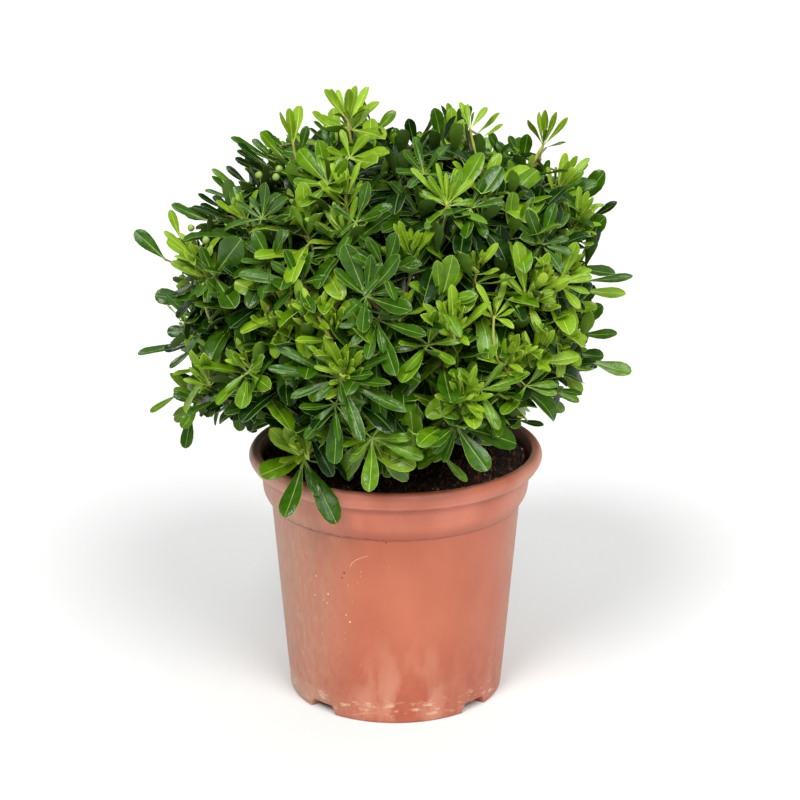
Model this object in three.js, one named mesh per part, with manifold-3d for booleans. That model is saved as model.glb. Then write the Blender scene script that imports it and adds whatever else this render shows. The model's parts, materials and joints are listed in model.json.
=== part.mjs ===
// A dwarf Japanese pittosporum in a 24 cm plastic nursery pot, in millimetres with +Z up.
// The origin is in the middle of the pot's underside, and the front faces -Y.
import * as THREE from 'three';
import { mergeVertices } from 'three/addons/utils/BufferGeometryUtils.js';
import Module from 'manifold-3d';

const wasm = await Module();
wasm.setup();

// Gap that is kept between neighbouring pieces
const SEAT_GAP = 0.3;

// Pot: a rolled lip over a plain band, a shoulder, a tapering wall and a foot ring with four notches
const RIM_RADIUS = 119.5;
const POT_HEIGHT = 208;
const FOOT_RADIUS = 88;
const WALL = 2.5;
const LIP_WIDTH = 8.5;
const LIP_DEPTH = 14.8;
const LIP_ROUND = 4;
const BAND_RADIUS = 109.5;
const BAND_DEPTH = 23.5;
const BAND_DRAFT = 1.5;
const SHOULDER_DEPTH = 11;
const SHOULDER_STEP = 6;
const FOOT_HEIGHT = 8;
const FOOT_RING_WIDTH = 9;
const FOOT_BEVEL = 2;
const FOOT_PAD_RADIUS = 28;
const POT_SEGMENTS = 36;
const NOTCH_COUNT = 4;
const NOTCH_WIDTH = 25;
const NOTCH_HEIGHT = 7.4;
const NOTCH_ROUND = 4;
const NOTCH_TURN = THREE.MathUtils.degToRad(47);
const DRAIN_COUNT = 8;
const DRAIN_RADIUS = 5;
const DRAIN_CIRCLE = 62;

// Potting mix
const SOIL_DROP = 9;
const SOIL_MOUND = 3;
const SOIL_DIP = 1;
const SOIL_CLEAR = 0.5;

// Main stem
const STEM_FLARE_RADIUS = 14;
const STEM_FOOT_RADIUS = 10.5;
const STEM_TIP_RADIUS = 7;
const STEM_HEIGHT = 92;
const STEM_FLARE_HEIGHT = 9;
const STEM_LEAN = -7;
const STEM_BOW = 2;
const STEM_SIDES = 10;
const STEM_STEPS = 9;

// Boughs
const BOUGH_SIDES = 5;
const BOUGH_STEPS = 3;
const BOUGH_FOOT_RADIUS = 3.9;
const BOUGH_TIP_RADIUS = 2.7;
const BOUGH_BEND = 0.45;
const BOUGH_RISE = 0.25;
const FORK_STEP = 3.4;
const FORK_DEPTH = 0.4;

// Crown: its outline is a rounded dome that leaf tips reach
const CROWN_CENTRE = new THREE.Vector3(-8, 0, 308);
const CROWN_WIDTH = 384;
const CROWN_DEPTH = 388;
const CROWN_RISE = 188;
const CROWN_DROP = 108;
const CROWN_LEAN = 0.12;
const DOME_POWER = 2.4;
const LUMP_DEPTH = 0.1;
const LUMP_WIDTH = 0.6;
const TIP_ROOM = 1.04;

// Rings of foliage masses, from the pot's rim up: the front is at azimuth -90
const RINGS = [
  { name: 'skirt', count: 7, radius: 126, height: 246, start: -122, forkHeight: 9 },
  { name: 'middle', count: 7, radius: 134, height: 338, start: -96, forkHeight: 36 },
  { name: 'top', count: 5, radius: 76, height: 426, start: -127, forkHeight: 62 },
];
const RING_UNEVEN = 0.2;
const HEIGHT_UNEVEN = 14;
const CORE_HEIGHT = 276;
const SPACE_GAP = 0.5;
const POT_CLEARANCE = 2.5;

// Heart of a mass: the dense inside that its shoots stand out of
const HEART_PLACE = 0.5;
const HEART_DETAIL = 1;
const HEART_DEPTH = 63;
const HEART_MARGIN = 1.5;
const HEART_STEP = 2;

// Longest shoots: where each one's tip is, and the way it leans
const LEADERS = [
  { at: [-33, -20, 468], lean: [-0.05, -0.1, 1] },
  { at: [44, -36, 456], lean: [0.1, -0.1, 1] },
  { at: [84, 0, 440], lean: [0.25, 0, 1] },
  { at: [114, 4, 442], lean: [0.3, 0, 1] },
  { at: [132, 0, 396], lean: [0.8, 0, 0.7] },
  { at: [-146, 24, 394], lean: [-1, 0, 0.8] },
  { at: [-163, -46, 366], lean: [-1, -0.1, 0.3] },
  { at: [-162, -10, 290], lean: [-1, -0.1, 0.1] },
  { at: [-146, -20, 252], lean: [-1, -0.2, -0.1] },
  { at: [148, -5, 340], lean: [1, 0, 0.3] },
  { at: [148, -10, 284], lean: [1, 0, 0.1] },
  { at: [-62, -120, 228], lean: [-0.1, -1, -0.25] },
];
const LEADER_ROOM = 34;

// Other shoots: most are spread over the dome, and the low ones stand over the potting mix
const SHOOT_COUNT = 63;
const LOWEST_SHOOT = -0.5;
const HIGHEST_SHOOT = 0.995;
const SHOOT_UNEVEN = 0.15;
const TIP_INSET = 0.66;
const TIP_SCATTER = 0.2;
const TIP_PULL = 0.1;
const LOW_COUNT = 14;
const LOW_RADIUS = 84;
const LOW_STAGGER = 14;
const LOW_HEIGHT = 236;
const LOW_UNEVEN = 8;

// Twigs
const STEM_SHARE = 0.5;
const STEM_LEAST = 24;
const TWIG_FOOT_RADIUS = 2.3;
const TWIG_TIP_RADIUS = 1.9;
const TWIG_LEAD = 0.45;
const TWIG_CLEAR = 5;
const TWIG_BEND = THREE.MathUtils.degToRad(80);
const TWIG_LIFT = 0.5;

// Leaves
const ROSETTE_LEAVES = 9;
const LEAF_TRIES = 10;
const LEAF_LENGTH = 58;
const LEAF_UNEVEN = 0.2;
const YOUNG_LEAF = 0.76;
const LEAF_WIDTH = 0.5;
const LEAF_THICKNESS = 0.03;
const LEAF_PITCH = 2.4;
const ROOT_SUNK = 0.5;
const OLD_TILT = THREE.MathUtils.degToRad(96);
const YOUNG_TILT = THREE.MathUtils.degToRad(30);
const TILT_UNEVEN = THREE.MathUtils.degToRad(24);
const LEAF_TURN = 0.9;
const LEAF_SHRINK = 0.98;
const LEAF_DROOP = 0.16;
const GOLDEN_ANGLE = Math.PI * (3 - Math.sqrt(5));

// Colours
const TERRACOTTA = 0xc8694a;
const PEAT = 0x2a1c14;
const BARK = 0x6b5a3c;
const LEAF_GREEN = 0x3f7a24;

const UP = new THREE.Vector3(0, 0, 1);
const { lerp, clamp, degToRad, mapLinear } = THREE.MathUtils;

// A repeatable source of numbers from 0 to 1
function seeded(seed) {
  let state = seed >>> 0;
  return () => {
    state = (state + 0x6d2b79f5) >>> 0;
    let t = state;
    t = Math.imul(t ^ (t >>> 15), t | 1);
    t ^= t + Math.imul(t ^ (t >>> 7), t | 61);
    return ((t ^ (t >>> 14)) >>> 0) / 4294967296;
  };
}

// Closed solids to and from the boolean library
function sharedCorners(geometry) {
  const bare = geometry.clone();
  bare.deleteAttribute('normal');
  bare.deleteAttribute('uv');
  return mergeVertices(bare, 1e-4);
}

function toSolid(geometry) {
  const merged = sharedCorners(geometry);
  const index = merged.index.array;
  const kept = [];
  for (let i = 0; i < index.length; i += 3) {
    const [a, b, c] = [index[i], index[i + 1], index[i + 2]];
    if (a !== b && b !== c && c !== a) kept.push(a, b, c);
  }
  return solidFrom(merged.getAttribute('position').array, kept);
}

function solidFrom(positions, triangles) {
  return new wasm.Manifold(new wasm.Mesh({
    numProp: 3,
    vertProperties: Float32Array.from(positions),
    triVerts: Uint32Array.from(triangles),
  }));
}

function cornersOf(solid) {
  const { vertProperties, numProp } = solid.getMesh();
  const points = [];
  for (let i = 0; i < vertProperties.length; i += numProp) {
    points.push(new THREE.Vector3().fromArray(vertProperties, i));
  }
  return points;
}

function toGeometry(solid) {
  const mesh = solid.getMesh();
  const geometry = new THREE.BufferGeometry();
  geometry.setAttribute('position', new THREE.BufferAttribute(mesh.vertProperties.slice(), 3));
  geometry.setIndex(new THREE.BufferAttribute(mesh.triVerts.slice(), 1));
  geometry.computeVertexNormals();
  return geometry;
}

// A solid that a cut or a join leaves in several pieces keeps its biggest, with no hollow inside
function biggestPiece(solid) {
  return solid.decompose().reduce((best, piece) => (piece.volume() > best.volume() ? piece : best));
}

function place(parent, name, geometry, material, origin = new THREE.Vector3()) {
  const mesh = new THREE.Mesh(geometry.translate(-origin.x, -origin.y, -origin.z), material);
  mesh.name = name;
  mesh.position.copy(origin);
  parent.add(mesh);
}

// A turned solid: the profile's points are (radius, height), from the axis round to the axis
function turned(profile) {
  const points = profile.map(([radius, height]) => new THREE.Vector2(radius, height));
  return toSolid(new THREE.LatheGeometry(points, POT_SEGMENTS).rotateX(Math.PI / 2));
}

// Pot
const bandTop = POT_HEIGHT - LIP_DEPTH;
const shoulderTop = bandTop - BAND_DEPTH + SHOULDER_DEPTH / 2;
const shoulderFoot = shoulderTop - SHOULDER_DEPTH;
const bandFootRadius = BAND_RADIUS - BAND_DRAFT;
const wallTopRadius = bandFootRadius - SHOULDER_STEP;
const floorTop = FOOT_HEIGHT + WALL;

function potWallRadius(height) {
  return mapLinear(height, 0, shoulderFoot, FOOT_RADIUS, wallTopRadius);
}

function potProfile() {
  const underside = [
    [0, 0],
    [FOOT_PAD_RADIUS, 0],
    [FOOT_PAD_RADIUS + FOOT_HEIGHT / 2, FOOT_HEIGHT],
    [FOOT_RADIUS - FOOT_RING_WIDTH - FOOT_BEVEL, FOOT_HEIGHT],
    [FOOT_RADIUS - FOOT_RING_WIDTH, 0],
    [FOOT_RADIUS - FOOT_BEVEL, 0],
  ];
  const outside = [
    [potWallRadius(FOOT_BEVEL), FOOT_BEVEL],
    [wallTopRadius, shoulderFoot],
    [bandFootRadius, shoulderTop],
    [BAND_RADIUS, bandTop],
  ];
  const lip = [
    [RIM_RADIUS - LIP_ROUND, bandTop],
    [RIM_RADIUS - LIP_ROUND / 5, bandTop + LIP_ROUND],
    [RIM_RADIUS, bandTop + LIP_DEPTH / 2],
    [RIM_RADIUS - LIP_ROUND / 2, POT_HEIGHT - LIP_ROUND / 2],
    [RIM_RADIUS - LIP_ROUND, POT_HEIGHT],
    [RIM_RADIUS - LIP_WIDTH, POT_HEIGHT - LIP_ROUND / 3],
  ];
  const inside = [
    [BAND_RADIUS - WALL, bandTop - WALL],
    [wallTopRadius - WALL, shoulderFoot - WALL],
    [potWallRadius(floorTop) - WALL, floorTop],
    [FOOT_PAD_RADIUS + WALL, floorTop],
    [FOOT_PAD_RADIUS - WALL, WALL],
    [0, WALL],
  ];
  return [...underside, ...outside, ...lip, ...inside];
}

function notchCutter() {
  const half = NOTCH_WIDTH / 2;
  const outline = new THREE.Shape();
  outline.moveTo(-half, -FOOT_HEIGHT);
  outline.lineTo(half, -FOOT_HEIGHT);
  outline.lineTo(half, NOTCH_HEIGHT - NOTCH_ROUND);
  outline.quadraticCurveTo(half, NOTCH_HEIGHT, half - NOTCH_ROUND, NOTCH_HEIGHT);
  outline.lineTo(NOTCH_ROUND - half, NOTCH_HEIGHT);
  outline.quadraticCurveTo(-half, NOTCH_HEIGHT, -half, NOTCH_HEIGHT - NOTCH_ROUND);
  const depth = FOOT_RING_WIDTH + 4 * FOOT_BEVEL;
  const geometry = new THREE.ExtrudeGeometry(outline, { depth, bevelEnabled: false, curveSegments: 3 });
  return geometry.translate(0, 0, FOOT_RADIUS - FOOT_RING_WIDTH - 2 * FOOT_BEVEL).rotateX(Math.PI / 2);
}

function makePot() {
  const cutters = [];
  for (let i = 0; i < NOTCH_COUNT; i += 1) {
    cutters.push(toSolid(notchCutter().rotateZ(NOTCH_TURN + (i * 2 * Math.PI) / NOTCH_COUNT)));
  }
  for (let i = 0; i < DRAIN_COUNT; i += 1) {
    const drain = new THREE.CylinderGeometry(DRAIN_RADIUS, DRAIN_RADIUS, 4 * FOOT_HEIGHT, 6);
    drain.rotateX(Math.PI / 2).translate(DRAIN_CIRCLE, 0, FOOT_HEIGHT);
    cutters.push(toSolid(drain.rotateZ(((i + 0.5) * 2 * Math.PI) / DRAIN_COUNT)));
  }
  return toGeometry(turned(potProfile()).subtract(wasm.Manifold.union(cutters)));
}

// Potting mix: it fills the pot to a little below the rim and rises slightly round the stem
const soilTop = POT_HEIGHT - SOIL_DROP;
const moundTop = soilTop + SOIL_MOUND;

function makeSoil() {
  const inset = WALL + SEAT_GAP + SOIL_CLEAR;
  return toGeometry(turned([
    [0, WALL + SEAT_GAP],
    [FOOT_PAD_RADIUS - inset, WALL + SEAT_GAP],
    [FOOT_PAD_RADIUS + WALL - SEAT_GAP, floorTop + SEAT_GAP],
    [potWallRadius(floorTop) - inset, floorTop + SEAT_GAP],
    [wallTopRadius - inset, shoulderFoot - WALL],
    [bandFootRadius - inset, soilTop - 2 * SOIL_DIP],
    [bandFootRadius - STEM_FLARE_RADIUS, soilTop + SOIL_DIP],
    [2 * STEM_FLARE_RADIUS, soilTop],
    [STEM_FLARE_RADIUS + SOIL_MOUND, moundTop],
    [0, moundTop],
  ]));
}

// A limb: a tapering tube of flat-sided rings, one at each point, closed at both ends
function limb(points, radii, sides) {
  const last = points.length - 1;
  const positions = [];
  const triangles = [];
  let normal = new THREE.Vector3(0.36, 0.48, 0.8);
  points.forEach((centre, i) => {
    const tangent = points[Math.min(i + 1, last)].clone().sub(points[Math.max(i - 1, 0)]).normalize();
    normal = normal.clone().addScaledVector(tangent, -normal.dot(tangent)).normalize();
    const binormal = tangent.clone().cross(normal);
    for (let j = 0; j < sides; j += 1) {
      const angle = (j * 2 * Math.PI) / sides;
      const corner = centre.clone()
        .addScaledVector(normal, Math.cos(angle) * radii[i])
        .addScaledVector(binormal, Math.sin(angle) * radii[i]);
      positions.push(...corner);
    }
  });
  for (let a = 0; a < last * sides; a += 1) {
    const b = a % sides === sides - 1 ? a + 1 - sides : a + 1;
    triangles.push(a, b, b + sides, a, b + sides, a + sides);
  }
  const top = last * sides;
  for (let j = 1; j < sides - 1; j += 1) {
    triangles.push(0, j + 1, j, top, top + j, top + j + 1);
  }
  return solidFrom(positions, triangles);
}

// Main stem: it flares where it meets the potting mix and carries every bough
const stemFoot = moundTop + SEAT_GAP;
const stemCurve = new THREE.QuadraticBezierCurve3(
  new THREE.Vector3(0, 0, stemFoot),
  new THREE.Vector3(0, STEM_BOW, stemFoot + STEM_HEIGHT / 2),
  new THREE.Vector3(STEM_LEAN, 0, stemFoot + STEM_HEIGHT),
);

function stemRadius(t) {
  const flare = Math.max(0, 1 - (t * STEM_HEIGHT) / STEM_FLARE_HEIGHT);
  return lerp(STEM_FOOT_RADIUS, STEM_TIP_RADIUS, t) + (STEM_FLARE_RADIUS - STEM_FOOT_RADIUS) * flare ** 2;
}

function makeStem(extra = 0) {
  const steps = Array.from({ length: STEM_STEPS + 1 }, (_, i) => (i / STEM_STEPS) ** 1.3);
  const points = steps.map((t) => stemCurve.getPoint(t));
  points[1].setX(0).setY(0);
  points[0].z -= extra;
  points[STEM_STEPS].z += extra;
  return limb(points, steps.map((t) => stemRadius(t) + extra), STEM_SIDES);
}

// Crown's dome: how far it reaches from its centre in a direction
function domeReach(direction) {
  const rise = direction.z > 0 ? CROWN_RISE : CROWN_DROP;
  const across = direction.x - CROWN_LEAN * direction.z;
  const flat = Math.hypot(across / (CROWN_WIDTH / 2), direction.y / (CROWN_DEPTH / 2));
  const steep = Math.abs(direction.z) / rise;
  return (flat ** DOME_POWER + steep ** DOME_POWER) ** (-1 / DOME_POWER);
}

// Spaces: a point belongs to the mass whose middle is nearest, and those nearest the core hold the boughs
const core = new THREE.Vector3(CROWN_CENTRE.x, CROWN_CENTRE.y, CORE_HEIGHT);
const masses = RINGS.flatMap((ring, r) => Array.from({ length: ring.count }, (_, i) => {
  const rand = seeded(1000 * (r + 1) + i);
  const azimuth = degToRad(ring.start + ((i + (rand() - 0.5) * RING_UNEVEN) * 360) / ring.count);
  const height = ring.height + (rand() - 0.5) * HEIGHT_UNEVEN;
  return {
    name: `${ring.name}_${i + 1}`,
    azimuth,
    middle: new THREE.Vector3(
      CROWN_CENTRE.x + ring.radius * Math.cos(azimuth),
      CROWN_CENTRE.y + ring.radius * Math.sin(azimuth),
      height,
    ),
    forkAt: (ring.forkHeight + FORK_STEP * ((2 * i) % ring.count)) / STEM_HEIGHT,
    seed: 7000 + 10 * r + i,
  };
}));

// How far a point lies inside a mass's space, as the least distance to the planes that bound it
function depthInSpace(point, mass) {
  const others = [core, ...masses.filter((other) => other !== mass).map((other) => other.middle)];
  return Math.min(...others.map((other) => (
    (other.distanceToSquared(point) - mass.middle.distanceToSquared(point)) / (2 * other.distanceTo(mass.middle)))));
}

function massAt(point) {
  return masses.reduce((best, mass) => (
    mass.middle.distanceTo(point) < best.middle.distanceTo(point) ? mass : best));
}

// Leaf tips reach the dome near a mass's middle and stay short of it at its edges, which makes the lumps
function crownReach(direction, mass) {
  const axis = mass.middle.clone().sub(CROWN_CENTRE);
  const away = Math.min(1, direction.angleTo(axis) / LUMP_WIDTH);
  return domeReach(direction) * (1 - LUMP_DEPTH * away ** 2);
}

function outsideDome(point, mass) {
  const arm = point.clone().sub(CROWN_CENTRE);
  return arm.length() > crownReach(arm.clone().normalize(), mass) * TIP_ROOM;
}

function hitsPot(point) {
  const radius = Math.hypot(point.x, point.y);
  if (point.z > POT_HEIGHT + POT_CLEARANCE || radius > RIM_RADIUS + POT_CLEARANCE) return false;
  return radius > wallTopRadius - POT_CLEARANCE || point.z < moundTop + POT_CLEARANCE;
}

function fits(points, mass) {
  return points.every((point) => depthInSpace(point, mass) > SPACE_GAP && !hitsPot(point));
}

// Bough: from inside the main stem, out to where its mass begins
function boughPoints(mass) {
  const foot = stemCurve.getPoint(mass.forkAt);
  const outward = mass.middle.clone().sub(core).normalize();
  const entry = core.clone().lerp(mass.middle, 0.5);
  const level = new THREE.Vector3(Math.cos(mass.azimuth), Math.sin(mass.azimuth), BOUGH_RISE).normalize();
  const start = foot.clone().addScaledVector(level, stemRadius(mass.forkAt) * FORK_DEPTH);
  const bend = entry.clone().addScaledVector(outward, -BOUGH_BEND * entry.distanceTo(foot));
  return new THREE.QuadraticBezierCurve3(start, bend, entry).getPoints(BOUGH_STEPS);
}

function makeBough(points, stemHollow) {
  const radii = points.map((_, i) => lerp(BOUGH_FOOT_RADIUS, BOUGH_TIP_RADIUS, i / BOUGH_STEPS));
  return toGeometry(biggestPiece(limb(points, radii, BOUGH_SIDES).subtract(stemHollow)));
}

// Heart: a ball pushed out in each direction as far as the mass's space and the leaves' depth allow
function makeHeart(mass, foot) {
  const centre = foot.clone().lerp(mass.middle, HEART_PLACE);
  const ball = sharedCorners(new THREE.IcosahedronGeometry(1, HEART_DETAIL));
  const points = ball.getAttribute('position');
  const direction = new THREE.Vector3();
  for (let i = 0; i < points.count; i += 1) {
    direction.fromBufferAttribute(points, i).normalize();
    let reach = HEART_STEP;
    while (inHeart(centre.clone().addScaledVector(direction, reach + HEART_STEP), mass)) reach += HEART_STEP;
    points.setXYZ(i, ...centre.clone().addScaledVector(direction, reach));
  }
  return toSolid(ball);
}

function inHeart(point, mass) {
  const arm = point.clone().sub(CROWN_CENTRE);
  const deep = arm.length() < domeReach(arm.clone().normalize()) - HEART_DEPTH;
  return deep && depthInSpace(point, mass) > HEART_MARGIN && !hitsPot(point);
}

// Where the shoots end: the longest ones, an even spiral over the dome in the room they leave, the low ones
function shootTips() {
  const rand = seeded(42);
  const tips = LEADERS.map(({ at, lean }) => (
    { tip: new THREE.Vector3(...at), lean: new THREE.Vector3(...lean).normalize() }));
  for (let i = 0; i < SHOOT_COUNT; i += 1) {
    const sine = lerp(LOWEST_SHOOT, HIGHEST_SHOOT, (i + 0.5) / SHOOT_COUNT);
    const cosine = Math.sqrt(1 - sine ** 2);
    const azimuth = i * GOLDEN_ANGLE + (rand() - 0.5) * SHOOT_UNEVEN;
    const direction = new THREE.Vector3(cosine * Math.cos(azimuth), cosine * Math.sin(azimuth), sine);
    const inward = LEAF_LENGTH * (TIP_INSET + TIP_SCATTER * rand());
    const tip = CROWN_CENTRE.clone().addScaledVector(direction, domeReach(direction) - inward);
    tip.lerp(massAt(tip).middle, TIP_PULL);
    const crowded = tips.some((other) => other.lean && other.tip.distanceTo(tip) < LEADER_ROOM);
    if (!crowded) tips.push({ tip });
  }
  for (let i = 0; i < LOW_COUNT; i += 1) {
    const azimuth = ((i + 0.3 * rand()) * 2 * Math.PI) / LOW_COUNT;
    const radius = LOW_RADIUS + LOW_STAGGER * (i % 2);
    const height = LOW_HEIGHT + LOW_UNEVEN * rand();
    tips.push({ tip: new THREE.Vector3(radius * Math.cos(azimuth), radius * Math.sin(azimuth), height) });
  }
  return tips;
}

// Shoot: a twig that leaves the mass's stem, bends at its knee and ends straight, where its leaves sit
function makeShoot({ tip, lean }, mass, foot, outward, length) {
  const along = tip.clone().sub(foot).dot(outward) - TWIG_LEAD * length;
  const start = foot.clone().addScaledVector(outward, clamp(along, TWIG_CLEAR, length - 1));
  const ahead = tip.clone().sub(start).normalize();
  const outwards = tip.clone().sub(CROWN_CENTRE).normalize();
  const axis = lean ?? ahead.add(outwards).addScaledVector(UP, TWIG_LIFT).normalize();
  const knee = tip.clone().addScaledVector(axis, -(ROSETTE_LEAVES + 0.5) * LEAF_PITCH);
  const twig = limb([start, knee, tip], [TWIG_FOOT_RADIUS, TWIG_TIP_RADIUS, TWIG_TIP_RADIUS], 3);
  const straightEnough = axis.angleTo(knee.clone().sub(start)) < TWIG_BEND;
  return straightEnough && fits(cornersOf(twig), mass) ? { tip, axis, leads: Boolean(lean), twig } : null;
}

// Leaf: blunt and broadest near its tip, six corners in eight faces, keeled along the midrib
const LEAF_OUTLINE = [[0, 0], [0.52, 0.32], [0.82, 0.5], [1, 0], [0.82, -0.5], [0.52, -0.32]];
const LEAF_FACES = [
  [0, 5, 1], [1, 5, 4], [1, 4, 2], [2, 4, 3],
  [0, 1, 3], [1, 2, 3], [0, 3, 5], [5, 3, 4],
];

function leafCorners(root, along, normal, length) {
  const across = normal.clone().cross(along).normalize();
  const face = along.clone().cross(across).normalize();
  return LEAF_OUTLINE.map(([x, y]) => root.clone()
    .addScaledVector(along, x * length)
    .addScaledVector(across, y * length * LEAF_WIDTH)
    .addScaledVector(face, y === 0 ? 0 : LEAF_THICKNESS * length));
}

// Points all over a leaf's face, to test it by
function leafSamples(corners) {
  const samples = [];
  const rungs = [[0, 0], [5, 1], [4, 2], [3, 3]];
  for (let k = 0; k < 3; k += 1) {
    for (let s = 0; s <= 8; s += 1) {
      const left = corners[rungs[k][0]].clone().lerp(corners[rungs[k + 1][0]], s / 8);
      const right = corners[rungs[k][1]].clone().lerp(corners[rungs[k + 1][1]], s / 8);
      for (let a = 0; a <= 4; a += 1) samples.push(left.clone().lerp(right, a / 4));
    }
  }
  return samples;
}

function crosses(one, other) {
  const [a, b] = [one.boundingBox(), other.boundingBox()];
  if ([0, 1, 2].some((k) => a.max[k] < b.min[k] || b.max[k] < a.min[k])) return false;
  return !one.intersect(other).isEmpty();
}

// Rosette: leaves in a spiral round a twig's end, the lowest spread wide and the top ones upright.
// A leaf that would leave the space, or cross wood or another leaf, is turned a little and then skipped.
function makeRosette(shoot, mass, rand, inTheWay) {
  const side = new THREE.Vector3(1, 0, 0).cross(shoot.axis).normalize();
  const turn = rand() * 2 * Math.PI;
  const leaves = [];
  for (let i = 0; i < ROSETTE_LEAVES; i += 1) {
    const young = i / (ROSETTE_LEAVES - 1);
    const root = shoot.tip.clone().addScaledVector(shoot.axis, (i - ROSETTE_LEAVES + 0.5) * LEAF_PITCH);
    const grown = LEAF_LENGTH * lerp(1, YOUNG_LEAF, young) * (1 + (rand() - 0.6) * LEAF_UNEVEN);
    for (let attempt = 0; attempt < LEAF_TRIES; attempt += 1) {
      const tilt = lerp(OLD_TILT, YOUNG_TILT, young) + (rand() - 0.5) * TILT_UNEVEN;
      const spoke = side.clone().applyAxisAngle(shoot.axis, turn + i * GOLDEN_ANGLE + attempt * LEAF_TURN);
      const along = spoke.multiplyScalar(Math.sin(tilt)).addScaledVector(shoot.axis, Math.cos(tilt));
      along.addScaledVector(UP, -LEAF_DROOP * (1 - young)).normalize();
      const base = root.clone().addScaledVector(along, -ROOT_SUNK);
      const corners = leafCorners(base, along, shoot.axis, grown * LEAF_SHRINK ** attempt);
      const samples = leafSamples(corners);
      if (!fits(samples, mass)) continue;
      if (!shoot.leads && samples.some((point) => outsideDome(point, mass))) continue;
      const leaf = solidFrom(corners.flatMap((corner) => [...corner]), LEAF_FACES.flat());
      if ([...inTheWay, ...leaves].some((other) => crosses(leaf, other))) continue;
      leaves.push(leaf);
      break;
    }
  }
  return leaves;
}

// Mass: one stem that goes on from its bough, its heart, a twig to each shoot's tip, and the shoots' leaves
function makeMass(mass, foot, outward, tips) {
  const reach = STEM_SHARE * (crownReach(outward, mass) - foot.distanceTo(CROWN_CENTRE));
  const length = Math.max(STEM_LEAST, reach);
  const end = foot.clone().addScaledVector(outward, length);
  const stem = limb([foot, end], [BOUGH_TIP_RADIUS, TWIG_FOOT_RADIUS], 3);
  const shoots = tips.map((tip) => makeShoot(tip, mass, foot, outward, length)).filter(Boolean);
  const wood = [makeHeart(mass, foot), stem, ...shoots.map((shoot) => shoot.twig)];
  const rand = seeded(mass.seed);
  const leaves = [];
  for (const shoot of shoots) {
    const inTheWay = [...wood.filter((piece) => piece !== shoot.twig), ...leaves];
    leaves.push(...makeRosette(shoot, mass, rand, inTheWay));
  }
  return toGeometry(biggestPiece(wasm.Manifold.union([...wood, ...leaves])));
}

// The assembly
const plastic = new THREE.MeshStandardMaterial({ color: TERRACOTTA, roughness: 0.55, metalness: 0 });
const soil = new THREE.MeshStandardMaterial({ color: PEAT, roughness: 0.95, metalness: 0 });
const bark = new THREE.MeshStandardMaterial({ color: BARK, roughness: 0.8, metalness: 0 });
const foliage = new THREE.MeshStandardMaterial({ color: LEAF_GREEN, roughness: 0.4, metalness: 0 });

const plant = new THREE.Group();
const limbs = new THREE.Group();
const crown = new THREE.Group();
plant.add(limbs, crown);

place(plant, 'pot', makePot(), plastic);
place(plant, 'potting_mix', makeSoil(), soil);
place(limbs, 'main_stem', toGeometry(makeStem()), bark, stemCurve.getPoint(0));

const stemHollow = makeStem(SEAT_GAP);
const tips = shootTips();
for (const mass of masses) {
  const points = boughPoints(mass);
  const [beforeEnd, end] = points.slice(-2);
  const outward = end.clone().sub(beforeEnd).normalize();
  const foot = end.clone().addScaledVector(outward, SEAT_GAP);
  const own = tips.filter(({ tip }) => massAt(tip) === mass);
  place(limbs, `bough_${mass.name}`, makeBough(points, stemHollow), bark, points[0]);
  place(crown, `foliage_${mass.name}`, makeMass(mass, foot, outward, own), foliage, foot);
}

export default plant;
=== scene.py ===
import json
import math
import random

import bmesh
import bpy
from mathutils import Matrix, Quaternion, Vector, noise

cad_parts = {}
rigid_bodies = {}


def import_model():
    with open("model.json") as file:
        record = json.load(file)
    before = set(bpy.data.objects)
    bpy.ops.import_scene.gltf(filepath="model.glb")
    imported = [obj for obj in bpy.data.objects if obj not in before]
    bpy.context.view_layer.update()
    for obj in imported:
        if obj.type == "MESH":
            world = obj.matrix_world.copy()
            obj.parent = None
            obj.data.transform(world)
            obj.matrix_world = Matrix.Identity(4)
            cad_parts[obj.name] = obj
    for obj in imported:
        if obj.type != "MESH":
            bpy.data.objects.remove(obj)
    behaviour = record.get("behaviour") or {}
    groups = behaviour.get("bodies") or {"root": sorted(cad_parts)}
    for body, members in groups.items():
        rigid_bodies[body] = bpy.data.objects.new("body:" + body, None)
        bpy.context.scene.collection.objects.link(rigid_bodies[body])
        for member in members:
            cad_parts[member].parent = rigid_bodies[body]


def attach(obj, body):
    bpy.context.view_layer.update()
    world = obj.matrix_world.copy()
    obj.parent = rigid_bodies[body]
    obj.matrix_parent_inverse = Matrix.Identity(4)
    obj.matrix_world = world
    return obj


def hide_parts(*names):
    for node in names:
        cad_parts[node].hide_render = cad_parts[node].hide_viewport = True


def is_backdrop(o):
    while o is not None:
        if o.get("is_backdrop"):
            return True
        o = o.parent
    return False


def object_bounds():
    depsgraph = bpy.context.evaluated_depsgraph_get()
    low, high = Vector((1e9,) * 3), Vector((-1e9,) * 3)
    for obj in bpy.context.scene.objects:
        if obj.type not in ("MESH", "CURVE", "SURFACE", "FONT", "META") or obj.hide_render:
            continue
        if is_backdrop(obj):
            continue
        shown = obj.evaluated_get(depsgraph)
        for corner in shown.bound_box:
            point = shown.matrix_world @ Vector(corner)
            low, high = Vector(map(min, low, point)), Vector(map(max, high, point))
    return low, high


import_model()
cad_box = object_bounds()

# Camera: it stands in front of the plant and looks down on it by 18 degrees. Its lens is the one that gives the
# pot's rim, ledge and foot the ellipses of the photograph, whose frame is 800 by 800. Sizes here are millimetres.
MM = 0.001
FRAME_PIXELS = 800
FOCAL_PIXELS = 2336.8
SENSOR_WIDTH = 36
EYE = Vector((3.57, -1800.0, 830.9))
LOOK_DOWN = math.radians(18.0)


def shown(name, data):
    """A new object in the scene."""
    thing = bpy.data.objects.new(name, data)
    bpy.context.scene.collection.objects.link(thing)
    return thing


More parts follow.
